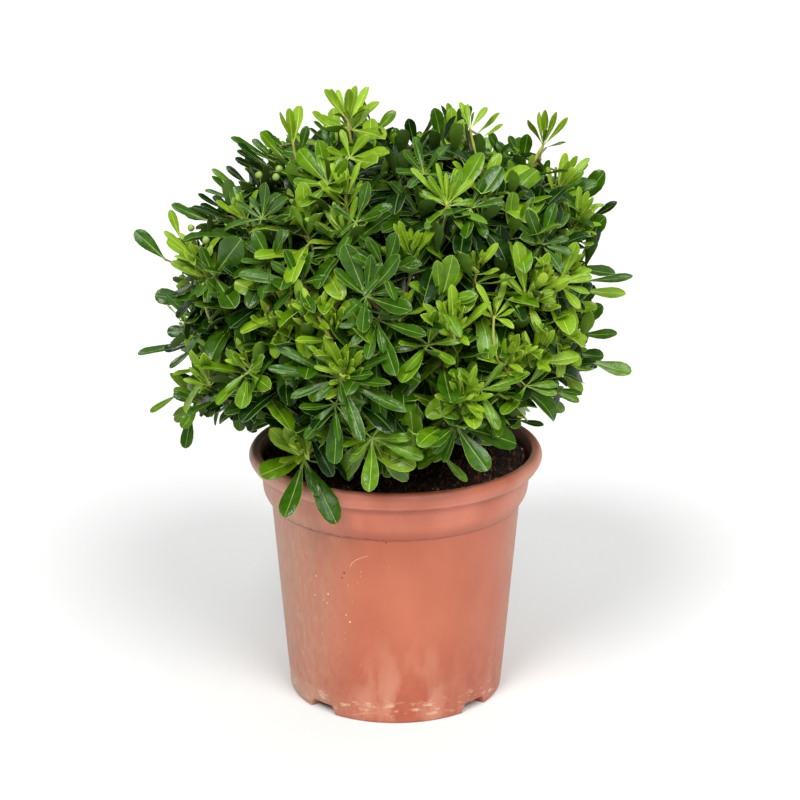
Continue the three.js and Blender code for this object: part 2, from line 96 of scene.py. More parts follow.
lens = bpy.data.cameras.new("camera")
lens.sensor_width = SENSOR_WIDTH
lens.lens = FOCAL_PIXELS * SENSOR_WIDTH / FRAME_PIXELS
camera = shown("camera", lens)
camera.location = EYE * MM
camera.rotation_euler = (math.pi / 2 - LOOK_DOWN, 0, 0)
bpy.context.scene.camera = camera


def sight_line(x, y):
    """The direction of the line of sight through a pixel of the frame."""
    right = Vector((1, 0, 0))
    forward = Vector((0, math.cos(LOOK_DOWN), -math.sin(LOOK_DOWN)))
    up = right.cross(forward)
    middle = FRAME_PIXELS / 2
    return (forward * FOCAL_PIXELS + right * (x - middle) - up * (y - middle)).normalized()


# Pot: a 24 cm nursery pot, injection moulded in one piece from terracotta-coloured polypropylene. It has a rolled
# lip over a plain band, a crease where the band meets the tapering wall, and a foot ring cut by four notches that
# let water out. It is satin and a little dusty, with lime on the foot and soil in the crease. Its colour also has
# painted shade in the crease, under the lip and inside the rim, and painted light on the band, the lip's foot and
# the right side.
RIM_RADIUS = 119.5
POT_HEIGHT = 208
SOIL_TOP = POT_HEIGHT - 9
FOOT_RADIUS = 88
WALL = 2.5
LIP_DEPTH = 14.8
LIP_WIDTH = 8.5
BAND_RADIUS = 109.4
BAND_FOOT_RADIUS = 108
BAND_TOP = POT_HEIGHT - LIP_DEPTH
SHOULDER_TOP = 175.2
CREASE_HEIGHT = 164.2
WALL_TOP_RADIUS = 102
FOOT_HEIGHT = 8
FOOT_RING_WIDTH = 9
FOOT_PAD_RADIUS = 28
FOOT_EASE = 14
NOTCH_COUNT = 4
NOTCH_HALF_WIDTH = 12.5
NOTCH_HEIGHT = 7.4
NOTCH_ROUND = 4
NOTCH_TURN = math.radians(47)
DRAIN_COUNT = 8
DRAIN_RADIUS = 5
DRAIN_CIRCLE = 62
DRAIN_SIDES = 24
POT_TURNS = 360
CURVE_STEPS = 5
SHARP_EDGE = math.radians(32)


def linear(code):
    """An sRGB hex colour as the linear values that a shader takes."""
    values = [int(code[i:i + 2], 16) / 255 for i in (1, 3, 5)]
    return [v / 12.92 if v <= 0.04045 else ((v + 0.055) / 1.055) ** 2.4 for v in values] + [1.0]


def feed(node, values):
    """Gives each named input of a node a value, or a link from a socket or from another node's first output."""
    for name, value in values.items():
        if isinstance(value, bpy.types.Node):
            value = value.outputs[0]
        if isinstance(value, bpy.types.NodeSocket):
            node.id_data.links.new(value, node.inputs[name])
        else:
            node.inputs[name].default_value = value


def add(tree, kind, values=None, **settings):
    """Adds a node with its settings, values and links."""
    node = tree.nodes.new(kind)
    for name, value in settings.items():
        setattr(node, name, value)
    feed(node, values or {})
    return node


def new_material(name, **values):
    """A material, its tree, its one shader with plain values on its own sockets, and the place on the object."""
    material = bpy.data.materials.new(name)
    material.use_nodes = True
    tree = material.node_tree
    shader = tree.nodes["Principled BSDF"]
    feed(shader, {key.replace("_", " "): value for key, value in values.items()})
    return material, tree, shader, add(tree, "ShaderNodeTexCoord").outputs["Object"]


def rounded(corners):
    """A profile from (across, up, rounding) corners, each cut back by its rounding and bridged by a curve."""
    points = []
    for i, (x, y, reach) in enumerate(corners):
        here = Vector((x, y))
        if not reach:
            points.append(here)
            continue
        before, after = (Vector(corners[j][:2]) - here for j in (i - 1, i + 1))
        start = here + before.normalized() * min(reach, before.length / 2)
        end = here + after.normalized() * min(reach, after.length / 2)
        for step in range(CURVE_STEPS + 1):
            t = step / CURVE_STEPS
            points.append(start.lerp(here, t).lerp(here.lerp(end, t), t))
    return points


def polar(radius, angle, height):
    """A point at an angle round the upright axis."""
    return Vector((radius * math.cos(angle), radius * math.sin(angle), height))


def turned(name, profile, turns, shape=None):
    """A mesh turned round the upright axis from a profile that begins and ends on it."""
    rings = profile[1:-1]
    points = [Vector((0, 0, profile[0].y))]
    points += [polar(ring.x, 2 * math.pi * j / turns, ring.y) for ring in rings for j in range(turns)]
    points.append(Vector((0, 0, profile[-1].y)))
    faces = []
    for j in range(turns):
        k = (j + 1) % turns
        faces.append((0, 1 + k, 1 + j))
        for i in range(len(rings) - 1):
            low, high = 1 + i * turns, 1 + (i + 1) * turns
            faces.append((low + j, low + k, high + k, high + j))
        last = 1 + (len(rings) - 1) * turns
        faces.append((last + j, last + k, len(points) - 1))
    if shape:
        points = [shape(point) for point in points]
    mesh = bpy.data.meshes.new(name)
    mesh.from_pydata([point * MM for point in points], [], faces)
    return shown(name, mesh)


def notch_lift(angle):
    """How far the foot ring is cut away upwards at an angle round the pot."""
    spacing = 2 * math.pi / NOTCH_COUNT
    off = (angle - NOTCH_TURN + spacing / 2) % spacing - spacing / 2
    away = abs(off) * FOOT_RADIUS - (NOTCH_HALF_WIDTH - NOTCH_ROUND)
    if away > NOTCH_ROUND:
        return 0
    return NOTCH_HEIGHT - NOTCH_ROUND + math.sqrt(NOTCH_ROUND ** 2 - max(away, 0) ** 2)


def cut_notches(point):
    """Lifts the foot ring's underside at the notches, and less and less up to where the wall is plain."""
    radius = math.hypot(point.x, point.y)
    inner = FOOT_RADIUS - FOOT_RING_WIDTH
    ease = FOOT_EASE if radius > inner + 2 else FOOT_HEIGHT
    if radius > inner - 3 and point.z < ease:
        point.z += notch_lift(math.atan2(point.y, point.x)) * (1 - point.z / ease)
    return point


def mesh_from(name, shape):
    """The mesh of a finished bmesh."""
    mesh = bpy.data.meshes.new(name)
    shape.to_mesh(mesh)
    shape.free()
    return mesh


def plain_mesh(piece):
    """Turns a piece with modifiers into the plain mesh that they give."""
    graph = bpy.context.evaluated_depsgraph_get()
    mesh = bpy.data.meshes.new_from_object(piece.evaluated_get(graph))
    piece.modifiers.clear()
    piece.data = mesh
    mesh.name = piece.name


def wall_radius(height):
    """The tapering wall's radius at a height above the foot."""
    return FOOT_RADIUS + (WALL_TOP_RADIUS - FOOT_RADIUS) * height / CREASE_HEIGHT


floor_top = FOOT_HEIGHT + WALL
pot = turned("pot_shell", rounded([
    (0, 0, 0),
    (FOOT_PAD_RADIUS, 0, 1),
    (FOOT_PAD_RADIUS + 4, FOOT_HEIGHT, 2),
    (FOOT_RADIUS - FOOT_RING_WIDTH - 2, FOOT_HEIGHT, 1.5),
    (FOOT_RADIUS - FOOT_RING_WIDTH, 0, 1),
    (FOOT_RADIUS - 0.2, 0, 2.4),
    (wall_radius(FOOT_EASE), FOOT_EASE, 0),
    (WALL_TOP_RADIUS - 0.4, CREASE_HEIGHT - 0.8, 0.4),
    (WALL_TOP_RADIUS + 0.9, CREASE_HEIGHT, 0.5),
    (WALL_TOP_RADIUS + 4.8, CREASE_HEIGHT + 5.8, 4),
    (BAND_FOOT_RADIUS + 0.5, SHOULDER_TOP, 6),
    (BAND_RADIUS, BAND_TOP - 0.6, 0.6),
    (RIM_RADIUS - 4.6, BAND_TOP, 0.8),
    (RIM_RADIUS - 3.4, BAND_TOP + 1.2, 0.6),
    (RIM_RADIUS - 2.9, BAND_TOP + 2.2, 0.8),
    (RIM_RADIUS - 0.2, BAND_TOP + 6.2, 3),
    (RIM_RADIUS, BAND_TOP + 10.4, 3),
    (RIM_RADIUS - 3, POT_HEIGHT, 2.4),
    (RIM_RADIUS - LIP_WIDTH, POT_HEIGHT - 1, 1.6),
    (BAND_RADIUS - WALL, BAND_TOP - WALL, 3),
    (WALL_TOP_RADIUS - WALL, CREASE_HEIGHT - WALL, 4),
    (wall_radius(floor_top) - WALL, floor_top, 3),
    (FOOT_PAD_RADIUS + WALL, floor_top, 1.5),
    (FOOT_PAD_RADIUS - WALL, WALL, 1.5),
    (0, WALL, 0),
]), POT_TURNS, cut_notches)

drills = bmesh.new()
for i in range(DRAIN_COUNT):
    made = bmesh.ops.create_cone(drills, cap_ends=True, segments=DRAIN_SIDES, radius1=DRAIN_RADIUS * MM,
                                 radius2=DRAIN_RADIUS * MM, depth=4 * FOOT_HEIGHT * MM)
    where = polar(DRAIN_CIRCLE, 2 * math.pi * (i + 0.5) / DRAIN_COUNT, FOOT_HEIGHT)
    bmesh.ops.translate(drills, verts=made["verts"], vec=where * MM)
drill = shown("drain_drills", mesh_from("drain drills", drills))
cut = pot.modifiers.new("drainage holes", "BOOLEAN")
cut.operation = "DIFFERENCE"
cut.solver = "EXACT"
cut.object = drill
plain_mesh(pot)
bpy.data.objects.remove(drill)
pot.data.shade_smooth()
pot.data.set_sharp_from_angle(angle=SHARP_EDGE)

# Moulded polypropylene: even colour, a satin skin, and a soft wide highlight
plastic, tree, shader, place = new_material("moulded polypropylene", IOR=1.49)
across = add(tree, "ShaderNodeSeparateXYZ", {"Vector": place})
flat = add(tree, "ShaderNodeVectorMath", {0: place, 1: (1, 1, 0)}, operation="MULTIPLY")
measures = {
    "X": across.outputs["X"],
    "Z": across.outputs["Z"],
    "radius": add(tree, "ShaderNodeVectorMath", {0: flat}, operation="LENGTH").outputs["Value"],
}
PLASTIC = "#a8583e"
# Clouds of noise: the size of a patch in mm, how it is stretched, and the noise values where it begins and is full
POT_CLOUDS = {
    "tone": (60, (1, 1, 0.6), 0.35, 0.65),
    "dust": (7, (1, 1, 0.8), 0.05, 0.75),
    "streak": (22, (1, 1, 0.4), 0.46, 0.6),
    "lime": (9, (1, 1, 2.2), 0.54, 0.7),
    "scuffs": (5, (1, 1, 0.45), 0.42, 0.74),
    "grime": (4, (1, 1, 2), 0.47, 0.6),
    "specks": (1.6, (1, 1, 1), 0.7, 0.74),
    "pale specks": (2.4, (1, 1, 0.7), 0.69, 0.73),
}
# Bands of the pot: the axis, and the place in mm where a band begins and where it is full
POT_BANDS = {
    "all": ("Z", -100, -90),
    "left": ("X", -30, -96),
    "left half": ("X", 35, -50),
    "right edge": ("X", 78, 104),
    "low": ("Z", 84, 20),
    "foot": ("Z", 22, 17),
    "above the foot's edge": ("Z", 3, 8),
    "upper band": ("Z", CREASE_HEIGHT + 4, CREASE_HEIGHT + 12),
    "right of the left": ("X", -34, -24),
    "left of the right": ("X", 42, 30),
    "inside the rim": ("radius", RIM_RADIUS - LIP_WIDTH + 1, RIM_RADIUS - LIP_WIDTH - 1),
    "near the top": ("Z", SOIL_TOP - 6, SOIL_TOP),
    "lip's foot": ("Z", BAND_TOP + 1.4, BAND_TOP + 2.2),
    "lip's foot ends": ("Z", BAND_TOP + 3.8, BAND_TOP + 3),
    "above crease": ("Z", CREASE_HEIGHT + 1.7, CREASE_HEIGHT + 0.5),
    "below crease": ("Z", CREASE_HEIGHT - 2.2, CREASE_HEIGHT - 0.5),
    "under lip": ("Z", BAND_TOP - 3, BAND_TOP - 0.6),
    "below lip": ("Z", BAND_TOP + 1.4, BAND_TOP + 0.2),
}
# Each layer on the plastic, its marks and its painted light and shade: its colour, its cloud, the bands that it
# keeps to, and its strength
POT_LAYERS = [
    ("#ba6a4e", "tone", ("all",), 0.7),
    # Painted light: all above the shoulder is made paler, against the shade that the lip casts on the band
    ("#cd7860", "tone", ("upper band",), 0.9),
    ("#9d826c", "dust", ("left",), 0.9),
    # Painted light: the right side is made paler and greyer, as if more strongly lit
    ("#b28a76", "tone", ("right edge",), 0.6),
    ("#964329", "dust", ("low",), 0.6),
    ("#b97e66", "streak", ("low",), 0.35),
    ("#cc9479", "streak", ("low", "right of the left", "left of the right"), 0.35),
    # Painted highlight: a pale line along the bead at the lip's lower edge
    ("#c98468", "tone", ("lip's foot", "lip's foot ends"), 0.7),
    # Painted shade with some soil stain: darker brown on the inside of the rim, above the potting mix
    ("#6b4230", "tone", ("inside the rim", "near the top"), 0.7),
    ("#cdb698", "lime", ("foot", "above the foot's edge"), 0.75),
    ("#b3937a", "dust", ("foot", "left"), 0.8),
    ("#bd9a82", "scuffs", ("left",), 0.45),
    ("#cba68c", "pale specks", ("left half",), 0.8),
    ("#5c3727", "specks", ("left half",), 0.8),
    ("#45291d", "grime", ("above crease", "below crease", "left half"), 0.9),
    # Painted shade: a thin dark line all round the crease
    ("#6c3f2d", "tone", ("above crease", "below crease"), 0.35),
    # Painted shade under the lip's overhang, in patches
    ("#6a3f2e", "grime", ("under lip", "below lip"), 0.5),
]
# Specks and flecks that can be told apart: where in the camera's frame, the radius in mm, and the colour
SPECKS = [
    ((344, 573), 0.95, "#3a1d12"), ((342, 578), 0.85, "#3a1d12"), ((316, 576), 0.8, "#e0b89c"),
    ((328, 594), 0.9, "#e3c0a6"), ((315, 595), 0.7, "#deb69a"), ((350, 622), 0.9, "#e0b598"),
    ((346, 615), 0.7, "#dfb294"), ((327, 603), 0.7, "#dfb498"), ((386, 543), 0.9, "#5a3524"),
    ((299, 611), 0.9, "#6e3c30"),
]
SPECK_CORE = 0.7
# The one long scratch: the points that it passes there, and the row of specks that draws it
SCRATCH = [(350, 567), (352, 563), (356, 560), (361, 558), (368, 556)]
SCRATCH_STEPS = 9
SCRATCH_RADIUS = 0.42
SCRATCH_COLOUR = "#e0997c"
SEARCH_FROM = 1500
WALL_SEARCH_STEP = 0.1


def on_wall(x, y):
    """The place where a line of sight meets the pot's wall."""
    direction = sight_line(x, y)
    reach = SEARCH_FROM
    while math.hypot(*(EYE + direction * reach).xy) > wall_radius((EYE + direction * reach).z):
        reach += WALL_SEARCH_STEP
    return EYE + direction * reach


specks = [(on_wall(*where), radius, code) for where, radius, code in SPECKS]
scratch_line = [on_wall(*where) for where in SCRATCH]
for a, b in zip(scratch_line, scratch_line[1:]):
    for i in range(SCRATCH_STEPS):
        specks.append((a.lerp(b, i / SCRATCH_STEPS), SCRATCH_RADIUS, SCRATCH_COLOUR))

clouds = {}
for name, (size, stretch, low, high) in POT_CLOUDS.items():
    stretched = add(tree, "ShaderNodeMapping", {"Vector": place, "Scale": stretch, "Location": (size, 0, 0)})
    cloud = add(tree, "ShaderNodeTexNoise", {"Vector": stretched, "Scale": 1 / (size * MM), "Detail": 5})
    clouds[name] = add(tree, "ShaderNodeMapRange", {"Value": cloud, "From Min": low, "From Max": high})
bands = {}
for name, (axis, start, full) in POT_BANDS.items():
    ramp = {"Value": measures[axis], "From Min": start * MM, "From Max": full * MM}
    bands[name] = add(tree, "ShaderNodeMapRange", ramp)
coats = []
for code, cloud, kept_to, strength in POT_LAYERS:
    amount = clouds[cloud]
    for band in kept_to:
        amount = add(tree, "ShaderNodeMath", {0: amount, 1: bands[band]}, operation="MULTIPLY")
    coats.append((code, add(tree, "ShaderNodeMath", {0: amount, 1: strength}, operation="MULTIPLY")))
for middle, radius, code in specks:
    away = add(tree, "ShaderNodeVectorMath", {0: place, 1: middle * MM}, operation="DISTANCE").outputs["Value"]
    ramp = {"Value": away, "From Min": radius * MM, "From Max": SPECK_CORE * radius * MM}
    coats.append((code, add(tree, "ShaderNodeMapRange", ramp)))
colour = linear(PLASTIC)
for code, amount in coats:
    colour = add(tree, "ShaderNodeMixRGB", {"Fac": amount, "Color1": colour, "Color2": linear(code)})
sheen = add(tree, "ShaderNodeMapRange", {"Value": clouds["dust"], "To Min": 0.36, "To Max": 0.5})
skin = add(tree, "ShaderNodeTexNoise", {"Vector": place, "Scale": 1 / (9 * MM), "Detail": 2})
bump = add(tree, "ShaderNodeBump", {"Height": skin, "Strength": 0.25, "Distance": 0.3 * MM})
feed(shader, {"Base Color": colour, "Roughness": sheen, "Normal": bump})
pot.data.materials.append(plastic)
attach(pot, "root")
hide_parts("pot")

# Potting mix: damp black peat with bark crumbs and a few pale grains, filled to 9 mm below the rim. The bed is
# one lumpy body, and crumbs, chips and grit are strewn on it.
SOIL_MOUND = 3
MOUND_RADIUS = 60
SOIL_EDGE = 104.6
SOIL_RINGS = 44
SOIL_TURNS = 180
LUMP_SIZE = 16
LUMP_HEIGHT = 2.4
LUMP_ROUGHNESS, LUMP_FINENESS, LUMP_OCTAVES = 0.8, 2.2, 4
LUMP_SINK = 0.6
FULL_TURN = 6.3


def lumpy(point):
    """Raises and lowers the top of the bed, except where it meets the pot."""
    radius = math.hypot(point.x, point.y)
    if point.z < SOIL_TOP - 1 or radius > SOIL_EDGE - 1:
        return point
    mound = SOIL_MOUND * max(0, 1 - radius / MOUND_RADIUS)
    lump = noise.fractal(point / LUMP_SIZE, LUMP_ROUGHNESS, LUMP_FINENESS, LUMP_OCTAVES)
    point.z += mound + LUMP_HEIGHT * lump - LUMP_SINK
    return point


bed_profile = [(0, 3), (24, 3), (30, 11), (84, 11), (98.5, 162), (104, 175)]
bed_profile += [(SOIL_EDGE * (1 - i / SOIL_RINGS), SOIL_TOP) for i in range(SOIL_RINGS + 1)]
bed = turned("potting_mix_bed", [Vector(corner) for corner in bed_profile], SOIL_TURNS, lumpy)
bed.data.shade_smooth()


def new_tree(name, inputs):
    """An empty geometry tree with a geometry input and output, and other inputs by name and kind of socket."""
    tree = bpy.data.node_groups.new(name, "GeometryNodeTree")
    tree.interface.new_socket("Geometry", in_out="OUTPUT", socket_type="NodeSocketGeometry")
    for label, kind in {"Geometry": "Geometry", **inputs}.items():
        tree.interface.new_socket(label, in_out="INPUT", socket_type="NodeSocket" + kind)
    return tree, tree.nodes.new("NodeGroupInput").outputs, tree.nodes.new("NodeGroupOutput")


def grown(name, tree, source, values):
    """A plain mesh piece that a geometry tree makes from a source mesh, with the tree's inputs set by name."""
    piece = shown(name, source)
    modifier = piece.modifiers.new(tree.name, "NODES")
    modifier.node_group = tree
    for item in tree.interface.items_tree:
        if item.in_out == "INPUT" and item.name in values:
            modifier[item.identifier] = values[item.name]
    plain_mesh(piece)
    return piece


def dress(tree, out, geometry, material):
    """Ends a tree: its copies are made real and take their material."""
    real = add(tree, "GeometryNodeRealizeInstances", {"Geometry": geometry})
    feed(out, {"Geometry": add(tree, "GeometryNodeSetMaterial", {"Geometry": real, "Material": material})})


def patchy(tree, place, size, dark, light, low=0, high=1, detail=2):
    """A colour in patches of two tones a few millimetres wide, and the noise that it follows."""
    cloud = add(tree, "ShaderNodeTexNoise", {"Vector": place, "Scale": 1 / (size * MM), "Detail": detail})
    share = add(tree, "ShaderNodeMapRange", {"Value": cloud, "From Min": low, "From Max": high})
    return add(tree, "ShaderNodeMixRGB", {"Fac": share, "Color1": linear(dark), "Color2": linear(light)}), cloud


def strewn_tree():
    """Strews turned copies of one grain over a surface."""
    tree, given, out = new_tree("strewn grains", {
        "Grain": "Object", "Grains per square metre": "Float", "Least size": "Float", "Greatest size": "Float",
        "Seed": "Int", "Material": "Material",
    })
    spread = add(tree, "GeometryNodeDistributePointsOnFaces",
                 {"Mesh": given["Geometry"], "Density": given["Grains per square metre"], "Seed": given["Seed"]})
    turn = add(tree, "FunctionNodeRandomValue",
               {1: (FULL_TURN, FULL_TURN, FULL_TURN), "Seed": given["Seed"]}, data_type="FLOAT_VECTOR")
    size = add(tree, "FunctionNodeRandomValue",
               {2: given["Least size"], 3: given["Greatest size"], "Seed": given["Seed"]})
    grain = add(tree, "GeometryNodeObjectInfo", {"Object": given["Grain"]})
    copies = add(tree, "GeometryNodeInstanceOnPoints", {
        "Points": spread, "Instance": grain.outputs["Geometry"], "Rotation": turn, "Scale": size.outputs[1],
    })
    dress(tree, out, copies, given["Material"])
    return tree


def grain_shape(name, length, breadth, depth, seed):
    """A rough grain of 20 faces, one unit long before its scale."""
    draw = random.Random(seed)
    shape = bmesh.new()
    bmesh.ops.create_icosphere(shape, subdivisions=1, radius=0.5)
    for corner in shape.verts:
        uneven = draw.uniform(0.75, 1.2)
        corner.co = Vector((corner.co.x * length, corner.co.y * breadth, corner.co.z * depth)) * uneven
    return bpy.data.objects.new(name, mesh_from(name, shape))


# Damp peat: near black and matt, in warm and cold browns, and rough at 2 mm
peat, tree, shader, place = new_material("damp peat", Roughness=0.93, IOR=1.4)
colour, crumb = patchy(tree, place, 3, "#120c09", "#3a261a", detail=6)
rough = add(tree, "ShaderNodeBump", {"Height": crumb, "Strength": 0.8, "Distance": 1.5 * MM})
feed(shader, {"Base Color": colour, "Normal": rough})
bed.data.materials.append(peat)
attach(bed, "root")
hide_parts("potting_mix")

# Each kind of grain: its two colours, the shape's length, breadth and depth, how many lie on a square metre, and
# the least and greatest size in mm
GRAINS = {
    "peat_crumbs": ("#1c130e", "#3d281b", 1, 0.8, 0.7, 120000, 1.2, 3.6),
    "bark_chips": ("#4c2a18", "#7a4a2c", 1, 0.5, 0.26, 22000, 2.5, 8),
    "fibres": ("#55402c", "#8a6c4a", 1, 0.09, 0.09, 6000, 5, 14),
    "pale_grit": ("#8f8878", "#c4bfb0", 1, 0.8, 0.7, 2600, 1.4, 3.4),
}
strewn = strewn_tree()
top_faces = bmesh.new()
top_faces.from_mesh(bed.data)
buried = [face for face in top_faces.faces if face.calc_center_median().z < (SOIL_TOP - 3) * MM]
bmesh.ops.delete(top_faces, geom=buried, context="FACES")
top_mesh = mesh_from("top of the potting mix", top_faces)
for number, (name, (dark, light, length, breadth, depth, count, least, most)) in enumerate(GRAINS.items()):
    material, tree, shader, place = new_material(name.replace("_", " "), Roughness=0.85)
    feed(shader, {"Base Color": patchy(tree, place, 4, dark, light, 0.35, 0.65)[0]})
    grain = grain_shape(name + "_shape", length, breadth, depth, number)
    piece = grown(name, strewn, top_mesh, {
        "Grain": grain, "Grains per square metre": count, "Least size": least * MM,
        "Greatest size": most * MM, "Seed": number + 1, "Material": material,
    })
    bpy.data.objects.remove(grain)
    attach(piece, "root")
    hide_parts("potting_mix")

# Stem and boughs: one short woody stem that flares at its foot and forks low into nineteen boughs, each of which
# ends where it enters its mass of foliage. The bark is grey-brown, thin and finely cracked along its length.
STEM_FOOT = SOIL_TOP + SOIL_MOUND
STEM_HEIGHT = 92
STEM_LEAN = -7
STEM_BOW = 2
STEM_RADII = (14, 10.5, 7)
STEM_FLARE_HEIGHT = 9
STEM_BURIED = 4
STEM_STEPS = 48
STEM_FINER_FOOT = 1.3
BOUGH_RADII = (3.9, 2.7)
BOUGH_BEND = 0.45
BOUGH_RISE = 0.25
BOUGH_POINTS = 16
FORK_STEP = 3.4
FORK_DEPTH = 0.4
CROWN_CENTRE = Vector((-8, 0, 308))
CROWN_HALF = (192, 194)
CROWN_RISE = 188
CROWN_DROP = 108
CROWN_LEAN = 0.12
DOME_POWER = 2.4
CORE = Vector((CROWN_CENTRE.x, CROWN_CENTRE.y, 276))
# The rings of masses: the name, how many, the radius and height in mm, the first one's place in degrees, and the
# height of its fork on the stem in mm
RINGS = [
    ("skirt", 7, 126, 246, -122, 9),
    ("middle", 7, 134, 338, -96, 36),
    ("top", 5, 76, 426, -127, 62),
]
RING_UNEVEN = 0.2
HEIGHT_UNEVEN = 14
WORD = 0xFFFFFFFF
UP = Vector((0, 0, 1))


def seeded(seed):
    """The same repeatable numbers from 0 to 1 that place the masses in the solids."""
    state = seed
    def draw():
        nonlocal state
        state = (state + 0x6D2B79F5) & WORD
        t = (state ^ (state >> 15)) * (state | 1) & WORD
        t ^= (t + ((t ^ (t >> 7)) * (t | 61) & WORD)) & WORD
        return ((t ^ (t >> 14)) & WORD) / (WORD + 1)
    return draw


def bezier(controls, count):
    """Points along the curve that a few control points give."""
    line = []
    for step in range(count):
        t = step / (count - 1)
        points = list(controls)
        while len(points) > 1:
            points = [a.lerp(b, t) for a, b in zip(points, points[1:])]
        line.append(points[0])
    return line


def stem_point(t):
    """The middle of the stem at a share of its height."""
    middle = Vector((0, STEM_BOW, STEM_FOOT + STEM_HEIGHT / 2))
    tip = Vector((STEM_LEAN, 0, STEM_FOOT + STEM_HEIGHT))
    start = Vector((0, 0, STEM_FOOT))
    return start.lerp(middle, t).lerp(middle.lerp(tip, t), t)


def stem_radius(t):
    """The stem's radius at a share of its height."""
    flare = max(0, 1 - t * STEM_HEIGHT / STEM_FLARE_HEIGHT)
    foot, wood, tip = STEM_RADII
    return wood + (tip - wood) * t + (foot - wood) * flare ** 2


def make_masses():
    """The middle of each mass of foliage, and where on the stem its bough forks off."""
    made = []
    for number, (ring, count, radius, height, start, fork) in enumerate(RINGS):
        for i in range(count):
            draw = seeded(1000 * (number + 1) + i)
            azimuth = math.radians(start + (i + (draw() - 0.5) * RING_UNEVEN) * 360 / count)
            level = height + (draw() - 0.5) * HEIGHT_UNEVEN
            made.append({
                "name": f"{ring}_{i + 1}",
                "azimuth": azimuth,
                "middle": polar(radius, azimuth, level) + Vector((CROWN_CENTRE.x, CROWN_CENTRE.y, 0)),
                "fork": (fork + FORK_STEP * ((2 * i) % count)) / STEM_HEIGHT,
            })
    return made


def bough_line(mass):
    """A bough's curve, from inside the stem to where its mass begins."""
    foot = stem_point(mass["fork"])
    outward = (mass["middle"] - CORE).normalized()
    entry = CORE.lerp(mass["middle"], 0.5)
    level = polar(1, mass["azimuth"], BOUGH_RISE).normalized()
    start = foot + level * stem_radius(mass["fork"]) * FORK_DEPTH
    bend = entry - outward * (entry - foot).length * BOUGH_BEND
    return bezier([start, bend, entry], BOUGH_POINTS)


def line_mesh(name, lines):
    """A mesh of separate lines, each a list of points with a list of radii in millimetres."""
    points, edges, girths = [], [], []
    for line, radii in lines:
        first = len(points)
        points += [point * MM for point in line]
        girths += [radius * MM for radius in radii]
        edges += [(i, i + 1) for i in range(first, len(points) - 1)]
    mesh = bpy.data.meshes.new(name)
    mesh.from_pydata(points, edges, [])
    mesh.attributes.new("girth", "FLOAT", "POINT").data.foreach_set("value", girths)
    return mesh


def even_radii(first, last, count):
    """Radii that change evenly along a line."""
    return [first + (last - first) * i / (count - 1) for i in range(count)]


def limb_tree():
    """Makes each line a round limb as thick as its girth says, with the bark's relief on it."""
    tree, given, out = new_tree("round limbs", {
        "Sides": "Int", "Ring spacing": "Float", "Relief depth": "Float", "Relief size": "Float",
        "Bark": "Material",
    })
    curve = add(tree, "GeometryNodeMeshToCurve", {"Mesh": given["Geometry"]})
    rings = add(tree, "GeometryNodeResampleCurve",
                {"Curve": curve, "Length": given["Ring spacing"]}, mode="LENGTH")
    girth = add(tree, "GeometryNodeInputNamedAttribute", {"Name": "girth"}, data_type="FLOAT")
    circle = add(tree, "GeometryNodeCurvePrimitiveCircle", {"Resolution": given["Sides"], "Radius": 1.0})
    tube = add(tree, "GeometryNodeCurveToMesh",
               {"Curve": rings, "Profile Curve": circle, "Scale": girth, "Fill Caps": True})
    place = add(tree, "GeometryNodeInputPosition")
    grain = add(tree, "ShaderNodeVectorMath", {0: place, 1: (1, 1, 0.4)}, operation="MULTIPLY")
    fine = add(tree, "ShaderNodeMath", {0: 1.0, 1: given["Relief size"]}, operation="DIVIDE")
    bumps = add(tree, "ShaderNodeTexNoise", {"Vector": grain, "Scale": fine, "Detail": 3.0})
    swing = add(tree, "ShaderNodeMath", {0: bumps, 1: 0.5}, operation="SUBTRACT")
    depth = add(tree, "ShaderNodeMath", {0: swing, 1: given["Relief depth"]}, operation="MULTIPLY")
    normal = add(tree, "GeometryNodeInputNormal")
    offset = add(tree, "ShaderNodeVectorMath", {0: normal, "Scale": depth}, operation="SCALE")
    rough = add(tree, "GeometryNodeSetPosition", {"Geometry": tube, "Offset": offset})
    dress(tree, out, add(tree, "GeometryNodeSetShadeSmooth", {"Geometry": rough}), given["Bark"])
    return tree


def bark_material(name, dark, light, grain, roughness):
    """Thin bark: two tones in streaks along the wood, with fine cracks."""
    material, tree, shader, place = new_material(name, Roughness=roughness)
    along = add(tree, "ShaderNodeMapping", {"Vector": place, "Scale": (1, 1, 0.35)})
    colour, streaks = patchy(tree, along, grain, dark, light, 0.35, 0.65, 5)
    cracks = add(tree, "ShaderNodeBump", {"Height": streaks, "Distance": 0.4 * MM})
    feed(shader, {"Base Color": colour, "Normal": cracks})
    return material


masses = make_masses()
stem_shares = [(i / STEM_STEPS) ** STEM_FINER_FOOT for i in range(STEM_STEPS + 1)]
stem_line = [stem_point(t) for t in stem_shares]
stem_line[0] = stem_line[0] - UP * STEM_BURIED
limbs = limb_tree()
old_bark = bark_material("woody bark", "#4a3b29", "#86755a", 2.2, 0.8)
stem = grown("stem_bark", limbs, line_mesh("stem line", [(stem_line, [stem_radius(t) for t in stem_shares])]), {
    "Sides": 28, "Ring spacing": 1.6 * MM, "Relief depth": 1.5 * MM, "Relief size": 5 * MM, "Bark": old_bark,
})
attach(stem, "root")
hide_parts("main_stem")

bough_lines = [(line, even_radii(*BOUGH_RADII, len(line))) for line in map(bough_line, masses)]
boughs = grown("bough_bark", limbs, line_mesh("bough lines", bough_lines), {
    "Sides": 10, "Ring spacing": 2.4 * MM, "Relief depth": 0.8 * MM, "Relief size": 4 * MM, "Bark": old_bark,
})
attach(boughs, "root")
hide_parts(*[f"bough_{mass['name']}" for mass in masses])

# Twigs: each mass has one stem that goes on from its bough, a main twig to each long shoot, and finer twigs that
# leave those for every other shoot. Old twigs are olive brown. This spring's growth is soft and yellow-green.

